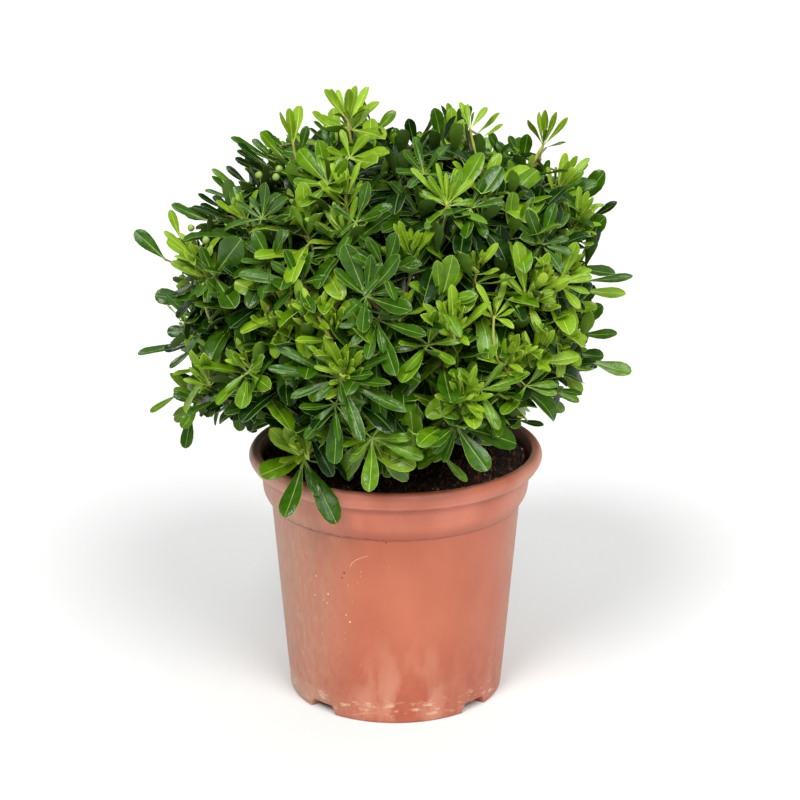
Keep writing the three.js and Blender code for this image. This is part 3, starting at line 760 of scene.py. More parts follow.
# Shoots that give the crown its outline: where each ends in mm, and the way it points
LEADERS = [
    ((-33, -20, 468), (-0.05, -0.1, 1)),
    ((44, -36, 456), (0.1, -0.1, 1)),
    ((84, 0, 442), (0.25, 0, 1)),
    ((114, 4, 444), (0.3, 0, 1)),
    ((126, 0, 386), (1, 0, 0.3)),
    ((-146, 24, 390), (-1, 0, 0.5)),
    ((-163, -46, 366), (-1, -0.1, 0.3)),
    ((-162, -10, 290), (-1, -0.1, 0.1)),
    ((-152, -20, 250), (-1, -0.2, -0.1)),
    ((148, -5, 340), (1, 0, 0.3)),
    ((148, -10, 284), (1, 0, 0.1)),
]
# The crown's edge as the camera sees it, in its frame of 800 by 800, without the leaves that stand out alone
CROWN_EDGE = [
    (346, 90), (358, 90), (366, 105), (374, 108), (372, 126), (384, 124), (386, 137), (411, 128), (430, 142),
    (434, 114), (452, 108), (461, 113), (471, 112), (474, 120), (472, 131), (480, 140), (503, 144), (508, 139),
    (529, 134), (531, 145), (542, 147), (544, 161), (554, 166), (567, 162), (576, 168), (586, 174), (594, 184),
    (586, 206), (600, 214), (600, 224), (574, 258), (590, 268), (594, 283), (590, 299), (592, 311), (579, 329),
    (592, 336), (584, 348), (590, 354), (602, 362), (598, 368), (570, 370), (578, 388), (573, 398), (562, 399),
    (554, 406), (524, 403), (526, 418), (520, 432), (500, 438), (474, 442), (448, 450), (424, 464), (400, 472),
    (372, 478), (340, 474), (312, 462), (290, 450), (274, 434), (268, 416), (256, 409), (244, 428), (235, 430),
    (226, 405), (219, 419), (196, 420), (191, 436), (184, 440), (177, 423), (178, 412), (184, 405), (176, 399),
    (176, 388), (181, 387), (178, 373), (187, 364), (182, 356), (170, 350), (168, 326), (178, 322), (178, 315),
    (165, 302), (165, 290), (175, 290), (186, 281), (172, 269), (173, 258), (167, 253), (168, 236), (173, 233),
    (171, 212), (205, 212), (212, 200), (226, 195), (222, 181), (233, 174), (247, 174), (257, 184), (258, 172),
    (251, 166), (252, 154), (261, 152), (264, 143), (281, 136), (287, 122), (298, 121), (296, 135), (308, 135),
    (311, 142), (324, 127), (322, 112), (330, 110), (336, 119), (331, 101), (339, 97),
]
# Single leaves that stand out there: where in the frame the tip and the foot are, the breadth, and the tint
EDGE_LEAVES = [
    (229, 139, 276, 163, 0.6, "dark"), (234, 147, 272, 168, 0.6, "deep"), (263, 130, 282, 148, 1, "dark"),
    (252, 140, 276, 160, 0.9, "dark"), (236, 151, 268, 167, 0.7, "deep"), (234, 159, 262, 172, 0.8, "deep"),
    (226, 167, 250, 186, 0.8, "deep"), (212, 169, 242, 192, 0.6, "mid"), (211, 176, 240, 200, 0.6, "dark"),
    (205, 190, 240, 202, 0.5, "dark"), (196, 196, 226, 210, 0.6, "deep"), (199, 206, 228, 216, 0.8, "deep"),
    (258, 133, 284, 158, 1.1, "mid"), (268, 136, 292, 162, 1.1, "dark"), (307, 126, 300, 154, 1.1, "dark"),
    (170, 207, 212, 222, 0.8, "dark"), (170, 210, 181, 240, 0.9, "fresh"), (276, 150, 300, 168, 1, "deep"),
    (135, 231, 167, 261, 1.2, "dark"), (155, 295, 194, 302, 1.5, "dark"), (167, 332, 198, 330, 1.4, "dark"),
    (139, 356, 190, 342, 0.6, "dark"), (164, 350, 196, 341, 0.9, "deep"), (170, 367, 196, 347, 0.7, "dark"),
    (177, 376, 202, 384, 1.4, "deep"), (167, 375, 192, 394, 0.7, "fresh"), (173, 395, 204, 404, 1, "dark"),
    (150, 412, 180, 393, 0.6, "mid"), (176, 423, 194, 398, 1, "mid"), (184, 428, 200, 400, 1.2, "mid"),
    (187, 447, 191, 410, 1.1, "dark"), (199, 413, 232, 401, 0.9, "deep"), (240, 430, 237, 394, 1.2, "mid"),
    (309, 115, 342, 134, 0.8, "light"), (394, 110, 373, 136, 1.1, "mid"), (446, 102, 458, 132, 0.7, "light"),
    (311, 124, 338, 140, 0.6, "dark"), (401, 150, 396, 178, 1, "dark"), (388, 134, 383, 166, 1.1, "deep"),
    (406, 117, 417, 152, 1.1, "deep"), (422, 132, 420, 164, 1.1, "mid"), (397, 132, 392, 166, 1, "mid"),
    (436, 106, 442, 148, 1.1, "dark"), (450, 108, 453, 142, 1.1, "light"), (446, 128, 450, 158, 1.2, "mid"),
    (503, 115, 474, 136, 0.6, "light"), (505, 127, 480, 138, 0.6, "light"), (508, 135, 520, 160, 1, "dark"),
    (486, 132, 505, 162, 0.9, "dark"), (497, 142, 514, 168, 1, "dark"), (528, 132, 522, 168, 1.2, "dark"),
    (566, 142, 544, 148, 0.5, "dark"), (551, 160, 540, 180, 1, "dark"), (574, 162, 558, 186, 1, "mid"),
    (597, 182, 560, 196, 1, "dark"), (586, 175, 552, 190, 1, "mid"), (592, 300, 562, 296, 0.9, "dark"),
    (580, 400, 546, 389, 0.8, "mid"), (394, 128, 396, 158, 1.2, "dark"), (402, 133, 398, 160, 1.2, "deep"),
    (322, 90, 346, 118, 0.7, "fresh"),
    (609, 175, 572, 208, 1.3, "dark"), (619, 205, 586, 220, 0.8, "deep"), (608, 218, 570, 246, 1.3, "dark"),
    (590, 166, 566, 178, 0.9, "mid"), (580, 157, 562, 180, 0.8, "light"), (605, 205, 576, 208, 0.5, "light"),
    (614, 278, 566, 264, 0.9, "dark"), (633, 279, 582, 281, 0.6, "dark"), (625, 297, 576, 289, 0.8, "light"),
    (597, 310, 556, 306, 0.9, "light"), (600, 303, 574, 332, 1.4, "dark"), (617, 337, 574, 334, 0.9, "dark"),
    (587, 351, 566, 348, 0.9, "mid"), (603, 359, 570, 352, 1.5, "dark"), (629, 377, 586, 359, 1.1, "mid"),
    (578, 394, 556, 358, 1, "light"), (581, 397, 546, 386, 0.7, "dark"), (563, 412, 530, 391, 1.1, "mid"),
    (543, 427, 514, 419, 0.7, "dark"),
]
# New growth that stands out from the crown: where in the frame its middle is, and its height in mm
NEW_GROWTH = [
    (352, 128, 24), (560, 182, 16), (243, 208, 22), (206, 270, 26), (345, 190, 20), (343, 226, 16),
    (577, 214, 18), (531, 286, 46), (562, 266, 28), (452, 318, 40), (508, 358, 36), (552, 336, 30), (344, 366, 34),
    (247, 356, 14), (458, 392, 38), (302, 312, 24), (412, 248, 16), (478, 262, 14), (330, 322, 40), (400, 302, 14),
]
# Rosettes and fans that can be told apart: where in the frame the twig ends, the tint, and where each leaf has its
# tip, with its breadth
SEEN_ROSETTES = [
    ((366, 296), "dark", ((343, 242, 1.1), (373, 252, 0.8), (405, 256, 0.9), (361, 336, 1), (413, 316, 1),
     (331, 270, 0.8))),
    ((377, 320), "dark", ((396, 378, 1), (340, 327, 0.7), (430, 338, 0.7), (366, 362, 0.8))),
    ((385, 272), "dark", ((400, 231, 1.2), (370, 234, 0.8), (352, 256, 0.8), (420, 262, 0.8))),
    ((440, 303), "mid", ((457, 254, 1.2), (437, 257, 0.8), (411, 284, 0.8), (480, 300, 0.9), (462, 336, 0.9))),
    ((447, 207), "mid", ((486, 158, 1), (487, 223, 0.6), (428, 229, 0.8), (428, 176, 0.6), (462, 170, 0.7))),
    ((447, 205), "fresh", ((436, 163, 0.4), (446, 173, 0.5), (455, 181, 0.5), (411, 168, 0.4))),
    ((352, 130), "light", ((316, 117, 0.7), (391, 135, 0.8), (327, 138, 0.8), (376, 113, 0.7))),
    ((350, 158), "light", ((323, 150, 0.8), (388, 150, 0.8), (384, 169, 0.8), (368, 134, 0.8))),
    ((328, 184), "mid", ((296, 151, 1.1), (291, 184, 0.9), (350, 158, 0.9), (300, 214, 0.8))),
    ((356, 222), "dark", ((373, 183, 1), (388, 214, 0.8), (330, 210, 0.8), (340, 256, 0.8))),
    ((270, 262), "dark", ((254, 231, 1.4), (240, 262, 0.8), (290, 232, 0.9), (262, 298, 0.9))),
    ((214, 276), "dark", ((240, 240, 1.4), (200, 246, 1), (244, 322, 0.9), (196, 300, 0.8))),
    ((248, 372), "mid", ((243, 412, 1.3), (216, 404, 0.9), (276, 392, 1), (230, 352, 0.7), (272, 356, 0.7))),
    ((340, 378), "dark", ((363, 441, 0.7), (408, 414, 0.5), (396, 388, 0.5), (275, 347, 0.5), (268, 369, 0.5),
     (290, 398, 0.6), (306, 344, 0.6), (385, 358, 0.5))),
    ((335, 404), "dark", ((338, 462, 1.1), (306, 440, 0.9), (298, 412, 0.8), (366, 440, 0.7))),
    ((526, 386), "mid", ((556, 397, 0.9), (502, 420, 0.9), (558, 384, 0.8))),
    ((481, 390), "mid", ((532, 376, 0.7), (450, 372, 0.8), (497, 430, 0.9), (446, 404, 0.8))),
    ((428, 345), "mid", ((400, 385, 1.3), (456, 366, 0.8), (434, 306, 0.9), (396, 350, 0.7))),
    ((526, 297), "light", ((516, 244, 1), (547, 260, 0.9), (498, 280, 0.8), (556, 302, 0.9))),
    ((559, 284), "light", ((577, 240, 0.9), (591, 268, 0.8), (542, 252, 0.8), (590, 292, 0.8))),
    ((470, 208), "dark", ((506, 172, 1.3), (504, 202, 0.9), (444, 214, 0.8), (470, 246, 0.8))),
    ((541, 245), "dark", ((555, 203, 1), (528, 210, 0.9), (573, 252, 0.9), (513, 238, 0.8))),
    ((262, 219), "dark", ((268, 181, 1), (287, 198, 0.8), (236, 203, 0.8), (290, 224, 0.8))),
    ((424, 174), "dark", ((414, 138, 0.8), (402, 150, 0.8), (440, 152, 0.8), (398, 172, 0.8))),
    ((556, 341), "light", ((581, 365, 1.1), (580, 334, 0.9), (541, 368, 0.8), (528, 330, 0.8))),
    ((300, 284), "dark", ((240, 275, 0.7), (284, 248, 0.9), (262, 294, 0.7), (318, 256, 0.9), (312, 318, 0.8))),
    ((372, 438), "mid", ((337, 483, 1.1), (372, 491, 1.1), (401, 482, 1.1), (424, 456, 0.9), (344, 446, 0.8))),
    ((456, 426), "dark", ((486, 471, 1.3), (428, 448, 1.3), (518, 440, 1.1), (446, 462, 0.9))),
    ((440, 452), "mid", ((465, 483, 0.7), (420, 468, 0.9))),
    ((543, 146), "fresh", ((530, 116, 0.5), (538, 112, 0.5), (549, 108, 0.6), (560, 111, 0.5), (571, 117, 0.5),
     (545, 124, 0.5))),
    ((470, 130), "fresh", ((460, 102, 0.6), (467, 104, 0.6), (487, 107, 0.7), (474, 112, 0.5))),
    ((293, 144), "fresh", ((280, 112, 0.4), (288, 109, 0.8), (303, 111, 0.7), (296, 120, 0.5))),
    ((348, 124), "new", ((322, 91, 0.5), (331, 89, 0.5), (337, 96, 0.4), (347, 86, 0.8), (356, 86, 0.8),
     (367, 95, 0.5), (378, 101, 0.7))),
    ((210, 386), "fresh", ((196, 346, 0.7), (206, 347, 0.7), (189, 368, 0.6), (193, 377, 0.5))),
    ((202, 264), "fresh", ((164, 232, 0.5), (172, 245, 0.6), (180, 236, 0.5), (190, 243, 1), (204, 249, 0.6))),
    ((454, 336), "fresh", ((424, 304, 0.5), (416, 313, 0.6), (435, 308, 0.4), (451, 286, 0.7), (466, 317, 0.5),
     (489, 301, 0.6))),
    ((505, 364), "fresh", ((524, 334, 0.8), (504, 340, 0.5), (514, 336, 0.5), (530, 352, 0.5))),
    ((531, 362), "fresh", ((534, 328, 0.5), (541, 324, 0.5), (550, 325, 0.5), (558, 330, 0.6), (578, 362, 0.9))),
    ((463, 402), "fresh", ((446, 377, 0.4), (452, 374, 0.4), (459, 369, 0.5), (467, 368, 0.5), (476, 366, 0.5),
     (482, 396, 0.6))),
    ((494, 318), "new", ((489, 303, 0.5), (496, 297, 0.5), (500, 303, 0.5), (517, 312, 0.6))),
    ((318, 318), "fresh", ((292, 304, 0.6), (299, 303, 0.5), (311, 303, 0.6), (325, 294, 0.5))),
    ((344, 374), "fresh", ((324, 338, 0.5), (313, 349, 0.5), (303, 348, 0.4), (338, 336, 0.4), (346, 345, 0.5),
     (354, 352, 0.5), (369, 348, 0.5))),
]
# Green stems that can be told apart between the leaves: the places in the frame that they pass, and their
# thickness in mm
SEEN_STEMS = [
    ([(520, 184), (532, 164), (543, 146)], 3.6),
    ([(206, 334), (205, 308), (203, 283)], 2.8),
    ([(522, 332), (534, 306), (541, 292)], 2.8),
    ([(534, 306), (547, 289), (558, 276)], 2.2),
    ([(497, 372), (491, 340), (494, 316)], 2.4),
    ([(459, 352), (456, 343), (454, 334)], 2.6),
    ([(340, 364), (332, 338), (318, 316)], 3),
    ([(436, 246), (443, 228), (447, 205)], 2.6),
    ([(351, 160), (350, 142), (348, 123)], 3),
    ([(295, 164), (294, 154), (293, 143)], 2.4),
    ([(473, 148), (472, 139), (470, 129)], 2.4),
]
# The shoot that hangs over the rim: where its twig ends, and for each leaf its end in mm, breadth and tint
HUNG_SHOOT = Vector((-69, -100, 234))
HUNG_LEAVES = [
    ((-83, -129, 191), 1.1, "dark"), ((-43, -126, 189), 1, "dark"), ((-60, -118, 205), 0.85, "dark"),
    ((-102, -118, 223), 1.6, "mid"), ((-28, -108, 226), 0.8, "dark"), ((-36, -96, 240), 0.7, "dark"),
    ((-60, -80, 262), 0.9, "dark"), ((-96, -114, 258), 1.1, "new"), ((-85, -114, 260), 1, "new"),
    ((-70, -112, 261), 1, "new"), ((-78, -116, 254), 1.1, "new"), ((-86, -108, 230), 0.9, "fresh"),
]
# The other shoots, which follow a rule: how many places are tried, and the sine of the lowest one's elevation
MAIN_SHOOTS = (63, -0.5)
FINE_SHOOTS = (265, -0.62)
INNER_SHOOTS = (110, -0.45)
LOW_SHOOTS = 14
LOW_RADII = (84, 98)
LOW_HEIGHT = 238
HIGHEST_SINE = 0.995
# How far their ends lie under the crown's surface and how much that varies, in leaf lengths, how far out the inner
# ones end in shares of the crown's reach, and how far apart they stay in mm
TIP_INSET = 0.62
TIP_SCATTER = 0.4
INNER_SHARE = 0.66
SPACING = 21
CLOSE_SPACING = 12
LEAF_LENGTH = 52
GOLDEN_ANGLE = math.pi * (3 - math.sqrt(5))
AXIS_RISE = 0.8
AXIS_WANDER = 0.35
# Heights of the new growth on the finer twigs: few in front, where that of NEW_GROWTH stands, and more behind
NEW_IN_FRONT = (0, 0, 0, 0, 0, 0, 0, 0, 0, 0, 8, 16)
NEW_BEHIND = (0, 0, 0, 0, 0, 0, 0, 0, 10, 16, 22, 30)
BEHIND = 10
# How deep under the surface new growth, rosettes, stems and leaf tips that can be told apart lie, in mm
NEW_INSET = 26
ROSETTE_INSET = 22
STEM_INSET = 12
TIP_DEPTH = 5
TOWARDS_CAMERA = Vector((0, -0.6, 0.5))
# The room that a rosette takes inside the crown's edge, under its twig's end and over its new growth
ROOM_UNDER = 12
ROOM_OVER = 8
CROWN_SEARCH_STEPS = 600
CROWN_SEARCH_STEP = 1.5
# The order in which twigs grow, so that the next can leave them, and the radii of their feet and tips in that order
LAYER_ORDER = {"main": 0, "leader": 0, "placed": 1, "seen": 1, "hung": 1, "low": 1, "fine": 2, "inner": 2}
TWIG_RADII = ((1.9, 1.35), (1.65, 1.25), (1.4, 1.15))
TWIG_POINTS = 10
# How far a twig keeps its heading at its foot and at its tip, in shares of its reach
TWIG_HOLD = (0.3, 0.42)
# How far apart its knots are and how far they swing it, in mm
KNOT_SPACING = 18
KNOT_SWING = 1.2
# A twig leaves its carrier at least this far from its tip in mm, and a place where it would turn back counts more
LEAST_REACH = 12
TURNING_BACK = 1.6
# Stems of the masses, twigs of the single leaves on the edge, green stems, and the soft stems of new growth
MASS_STEM_RADII = (2.7, 2.0)
MASS_STEM_LEAST = 24
EDGE_DEPTHS = (-30, 10)
EDGE_TWIG_RADII = (1.0, 0.7)
SEEN_STEM_TAPER = (0.5, 0.4)
NEW_STEM_POINTS = 7
NEW_STEM_RADIUS = 1.3
NEW_STEM_THICKENING = 0.012
NEW_STEM_TAPER = 0.7


def dome_reach(direction):
    """How far the crown's dome reaches from its centre in a direction."""
    rise = CROWN_RISE if direction.z > 0 else CROWN_DROP
    sideways = direction.x - CROWN_LEAN * direction.z
    flat = math.hypot(sideways / CROWN_HALF[0], direction.y / CROWN_HALF[1])
    return (flat ** DOME_POWER + (abs(direction.z) / rise) ** DOME_POWER) ** (-1 / DOME_POWER)


def share_of_dome(point):
    """How far out a point lies on the way from the crown's centre to its surface."""
    arm = point - CROWN_CENTRE
    return arm.length / dome_reach(arm.normalized())


def on_crown(x, y, inset):
    """The place where a line of sight comes as deep into the crown as inset says, or as near to it as it gets."""
    direction = sight_line(x, y)
    best = None
    for step in range(CROWN_SEARCH_STEPS):
        point = EYE + direction * (SEARCH_FROM + step * CROWN_SEARCH_STEP)
        wanted = 1 - inset / dome_reach((point - CROWN_CENTRE).normalized())
        share = share_of_dome(point)
        if best is None or share < best[0]:
            best = (share, point)
        if share <= wanted:
            return point
    return best[1]


def frame_place(point):
    """Where in its frame the camera sees a point."""
    ray = point - EYE
    ahead = ray.y * math.cos(LOOK_DOWN) - ray.z * math.sin(LOOK_DOWN)
    rise = ray.y * math.sin(LOOK_DOWN) + ray.z * math.cos(LOOK_DOWN)
    scale = FOCAL_PIXELS / ahead
    return FRAME_PIXELS / 2 + ray.x * scale, FRAME_PIXELS / 2 - rise * scale


def in_edge(point):
    """Whether the camera sees a point inside the crown's edge."""
    x, y = frame_place(point)
    inside = False
    for (ax, ay), (bx, by) in zip(CROWN_EDGE, CROWN_EDGE[1:] + CROWN_EDGE[:1]):
        if (ay > y) != (by > y) and x < ax + (bx - ax) * (y - ay) / (by - ay):
            inside = not inside
    return inside


def seen_at(x, y, depth):
    """The point at a place in the frame that lies as far back as depth says."""
    ray = sight_line(x, y)
    return EYE + ray * ((depth - EYE.y) / ray.y)


def nearest(places, point):
    """The one of some places that lies nearest to a point."""
    return min(places, key=lambda place: (place - point).length)


def spiral(count, lowest, draw, reach):
    """Even places over the dome, from its lowest part to its top."""
    for i in range(count):
        sine = lowest + (HIGHEST_SINE - lowest) * (i + 0.5) / count
        azimuth = i * GOLDEN_ANGLE + (draw.random() - 0.5) * 0.15
        direction = polar(math.sqrt(1 - sine ** 2), azimuth, sine)
        yield CROWN_CENTRE + direction * reach(dome_reach(direction))


def free_axis(tip, draw):
    """The way a shoot points: outwards and a little up, and never quite the same."""
    wander = Vector((draw.uniform(-1, 1), draw.uniform(-1, 1), draw.uniform(-0.6, 1)))
    return ((tip - CROWN_CENTRE).normalized() + UP * AXIS_RISE + wander * AXIS_WANDER).normalized()


def plan_shoots(draw):
    """Where every shoot ends, which way it points, and how much new growth it has."""
    plans = []

    def plan(tip, axis=None, new=0, layer="fine", spacing=SPACING):
        if spacing == SPACING and not in_edge(tip - UP * ROOM_UNDER):
            return
        if all((other["tip"] - tip).length > spacing for other in plans):
            if layer == "fine" and new and not in_edge(tip + UP * (new + ROOM_OVER)):
                new = 0
            plans.append({"tip": tip, "axis": axis or free_axis(tip, draw), "new": new, "layer": layer})

    def outer(reach):
        return reach - LEAF_LENGTH * (TIP_INSET + TIP_SCATTER * draw.random())

    def inner(reach):
        return reach * INNER_SHARE

    plan(HUNG_SHOOT, Vector((-0.3, -0.3, 0.9)).normalized(), 8, "hung", 0)
    for x, y, height in NEW_GROWTH:
        tip = on_crown(x, y, NEW_INSET)
        axis = ((tip - CROWN_CENTRE).normalized() * 0.5 + UP).normalized()
        plan(tip - axis * (height * 0.7 + 7), axis, height, "placed", CLOSE_SPACING)
    for where, tint, tips in SEEN_ROSETTES:
        tip = on_crown(*where, ROSETTE_INSET)
        axis = ((tip - CROWN_CENTRE).normalized() + TOWARDS_CAMERA).normalized()
        plan(tip, axis, 0, "seen", 0)
        plans[-1].update({"tint": tint, "leaf tips": tips})
    for tip, lean in LEADERS:
        plan(Vector(tip), Vector(lean).normalized(), 0, "leader", CLOSE_SPACING)
    for tip in spiral(*MAIN_SHOOTS, draw, outer):
        plan(tip, layer="main")
    for tip in spiral(*FINE_SHOOTS, draw, outer):
        plan(tip, new=draw.choice(NEW_BEHIND if tip.y > BEHIND else NEW_IN_FRONT))
    for i in range(LOW_SHOOTS):
        azimuth = (i + 0.3 * draw.random()) * 2 * math.pi / LOW_SHOOTS
        plan(polar(LOW_RADII[i % 2], azimuth, LOW_HEIGHT + 8 * draw.random()), layer="low")
    for tip in spiral(*INNER_SHOOTS, draw, inner):
        plan(tip, layer="inner")
    return plans


POT_CLEARANCE = 2.5


def hits_pot(point):
    """Whether a point comes too near to the pot or the potting mix."""
    radius = math.hypot(point.x, point.y)
    if point.z > POT_HEIGHT + POT_CLEARANCE or radius > RIM_RADIUS + POT_CLEARANCE:
        return False
    return radius > WALL_TOP_RADIUS - POT_CLEARANCE or point.z < STEM_FOOT + POT_CLEARANCE


def grow(start, heading, tip, axis):
    """The line of a twig that leaves start along heading and comes to its tip along the shoot's axis."""
    reach = (tip - start).length
    controls = [start, start + heading * reach * TWIG_HOLD[0], tip - axis * reach * TWIG_HOLD[1], tip]
    line = bezier(controls, TWIG_POINTS)
    for i, point in enumerate(line[1:-1]):
        line[i + 1] = point + Vector(noise.noise_vector(point / KNOT_SPACING)) * KNOT_SWING
    return line


def detour(place, tip):
    """How far it is from a place on a twig to a tip, more where a new twig would have to turn back."""
    point, heading = place
    way = tip - point
    return way.length * (TURNING_BACK - way.normalized().dot(heading)) if way.length > LEAST_REACH else 1000


def grow_twigs(plans):
    """The stems of the masses, the main twigs, then each finer twig from the nearest one that can carry it."""
    lines = []
    carriers = {}
    for mass in masses:
        before, end = bough_line(mass)[-2:]
        outward = (end - before).normalized()
        length = max(MASS_STEM_LEAST, 0.5 * (dome_reach(outward) - (end - CROWN_CENTRE).length))
        stem_of_mass = [end - outward * 1.5, end + outward * length * 0.5, end + outward * length]
        lines.append((stem_of_mass, even_radii(*MASS_STEM_RADII, 3)))
        carriers[mass["name"]] = [(point, outward) for point in bezier(stem_of_mass, 8)]
    for plan in sorted(plans, key=lambda p: LAYER_ORDER[p["layer"]]):
        mass = min(masses, key=lambda m: (m["middle"] - plan["tip"]).length)
        own = carriers[mass["name"]]
        start, heading = min(own, key=lambda place: detour(place, plan["tip"]))
        plan["line"] = grow(start, heading, plan["tip"], plan["axis"])
        lines.append((plan["line"], even_radii(*TWIG_RADII[LAYER_ORDER[plan["layer"]]], TWIG_POINTS)))
        for a, b in list(zip(plan["line"], plan["line"][1:]))[2:7]:
            own.append((b, (b - a).normalized()))
    return lines


SEED = 26
draw = random.Random(SEED)
# Without a seed the noise that bends the twigs would start from the clock
noise.seed_set(SEED)
shoots = plan_shoots(draw)
twig_lines = grow_twigs(shoots)
twig_points = [point for line, _ in twig_lines for point in line]
edge_feet = []
for tip_x, tip_y, foot_x, foot_y, breadth, tint in EDGE_LEAVES:
    depth = draw.uniform(*EDGE_DEPTHS)
    tip, foot = seen_at(tip_x, tip_y, depth), seen_at(foot_x, foot_y, depth)
    base = nearest(twig_points, foot)
    line = bezier([base, base.lerp(foot, 0.5) + UP * 2, foot + (tip - foot).normalized() * 2], 6)
    twig_lines.append((line, even_radii(*EDGE_TWIG_RADII, len(line))))
    edge_feet.append((foot, tip, breadth, tint))
new_lines = []
for places, thickness in SEEN_STEMS:
    depth = on_crown(*places[-1], STEM_INSET).y
    passed = [seen_at(x, y, depth) for x, y in places]
    line = bezier([nearest(twig_points, passed[0]), *passed], NEW_STEM_POINTS)
    new_lines.append((line, even_radii(*[share * thickness for share in SEEN_STEM_TAPER], NEW_STEM_POINTS)))
for shoot in shoots:
    if shoot["new"]:
        side = (free_axis(shoot["tip"], draw) * 0.5 + shoot["axis"]).normalized()
        top = shoot["tip"] + side * shoot["new"]
        bend = shoot["tip"] + shoot["axis"] * shoot["new"] * 0.5
        shoot["new line"] = bezier([shoot["tip"], bend, top], NEW_STEM_POINTS)
        girth = NEW_STEM_RADIUS + NEW_STEM_THICKENING * shoot["new"]
        new_lines.append((shoot["new line"], even_radii(girth, NEW_STEM_TAPER * girth, NEW_STEM_POINTS)))

young_bark = bark_material("olive twig bark", "#5d5230", "#8b8450", 1.5, 0.6)
soft_green = bark_material("soft new stem", "#8d9434", "#abaa4e", 2, 0.45)
mass_nodes = [f"foliage_{mass['name']}" for mass in masses]
for name, lines, bark in (("twigs", twig_lines, young_bark), ("new_stems", new_lines, soft_green)):
    piece = grown(name, limbs, line_mesh(name + " lines", lines), {
        "Sides": 6, "Ring spacing": 6 * MM, "Relief depth": 0.2 * MM, "Relief size": 3 * MM, "Bark": bark,
    })
    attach(piece, "root")
    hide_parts(*mass_nodes)

# Leaves: leathery, blunt, broadest near the tip and drawn out into a narrow stalk, about 50 mm long when grown. The
# upper face is glossy with a pale midrib and a thin pale margin, and the underside is paler and dull. They sit in
# rosettes at the shoots' ends. New growth has smaller, narrower, upright leaves of a bright yellow-green.

# The stations along a leaf and its half breadth at each, in shares of the most, and other sizes in leaf lengths
LEAF_STATIONS = (0, 0.15, 0.35, 0.54, 0.71, 0.86, 0.96, 1)
LEAF_HALF_WIDTHS = (0.12, 0.17, 0.52, 0.85, 1, 0.92, 0.58, 0.19)
LEAF_BREADTH = 0.3
RIB_HALF = (0.011, 0.004)
MARGIN = 0.005
LEAF_BODY = 0.012
LEAF_GLOSS = 0.29
LEAF_WAVE = 0.022
LEAF_CREASE = math.radians(70)
# The corners at each station: six across the upper face, and one under its middle
CORNERS = 7
# How many leaf shapes are bent for spreading leaves, and how many nearly straight for upright ones
SPREADING_SHAPES = 9
UPRIGHT_SHAPES = 5


def leaf_shape(number, curl, fold, twist, sway, pale_edge):
    """One leaf a unit long: a closed thin blade, whose faces are marked 0 blade, 1 rib and margin, 2 underside."""
    points, faces, parts = [], [], []
    centre = Vector((0, 0, 0))
    last = len(LEAF_STATIONS) - 1
    for k, t in enumerate(LEAF_STATIONS):
        bend = -curl * t ** 1.6
        along = Vector((math.cos(bend), 0, math.sin(bend)))
        if k:
            centre = centre + along * (t - LEAF_STATIONS[k - 1])
        roll = Quaternion(along, twist * t)
        across = roll @ Vector((0, 1, 0))
        normal = along.cross(across)
        half = LEAF_HALF_WIDTHS[k] * LEAF_BREADTH / 2
        rib = min(half * 0.4, RIB_HALF[0] + (RIB_HALF[1] - RIB_HALF[0]) * t)
        edge = min(MARGIN, half * 0.3)
        middle = centre + Vector((0, sway * t * t, 0))
        for v in (-half, edge - half, -rib, rib, half - edge, half):
            rise = fold * abs(v)
            rise += LEAF_WAVE * abs(v) / (LEAF_BREADTH / 2) * math.sin(9 * t + math.copysign(1, v))
            rise -= LEAF_BODY * 0.5 if abs(v) == half else 0
            points.append(middle + across * v + normal * rise)
        points.append(middle - normal * LEAF_BODY)
        if k == last:
            continue
        here, ahead = CORNERS * k, CORNERS * (k + 1)
        for s in range(CORNERS - 2):
            faces.append((here + s, ahead + s, ahead + s + 1, here + s + 1))
            parts.append(1 if k == 0 or s == 2 or (pale_edge and s in (0, 4)) else 0)
        faces.append((here, here + 6, ahead + 6, ahead))
        faces.append((here + 6, here + 5, ahead + 5, ahead + 6))
        parts += [2, 2]
    faces.append(tuple(range(CORNERS)))
    faces.append(tuple(reversed(range(CORNERS * last, CORNERS * (last + 1)))))
    parts += [1, 1]
    mesh = bpy.data.meshes.new(f"leaf shape {number:02d}")
    mesh.from_pydata(points, [], faces)
    mesh.attributes.new("part", "INT", "FACE").data.foreach_set("value", parts)
    mesh.shade_smooth()
    mesh.set_sharp_from_angle(angle=LEAF_CREASE)
    return bpy.data.objects.new(f"leaf_shape_{number:02d}", mesh)


def leaf_tree():
    """Puts a leaf on each point, turned and sized as the point says, and gives its faces their materials."""
    tree, given, out = new_tree("leaves in rosettes", {
        "Leaf shapes": "Collection", "Blade": "Material", "Rib and margin": "Material", "Underside": "Material",
    })
    shapes = add(tree, "GeometryNodeCollectionInfo",
                 {"Collection": given["Leaf shapes"], "Separate Children": True, "Reset Children": True})
    said = {name: add(tree, "GeometryNodeInputNamedAttribute", {"Name": name}, data_type=kind)
            for name, kind in (("shape", "INT"), ("turn", "QUATERNION"), ("size", "FLOAT_VECTOR"), ("part", "INT"))}
    copies = add(tree, "GeometryNodeInstanceOnPoints", {
        "Points": given["Geometry"], "Instance": shapes, "Pick Instance": True,
        "Instance Index": said["shape"], "Rotation": said["turn"], "Scale": said["size"],
    })
    leaves = add(tree, "GeometryNodeRealizeInstances", {"Geometry": copies})
    for part, label in enumerate(("Blade", "Rib and margin", "Underside")):
        same = add(tree, "FunctionNodeCompare", {2: said["part"], 3: part}, data_type="INT", operation="EQUAL")
        leaves = add(tree, "GeometryNodeSetMaterial",
                     {"Geometry": leaves, "Selection": same, "Material": given[label]})
    feed(out, {"Geometry": leaves})
    return tree


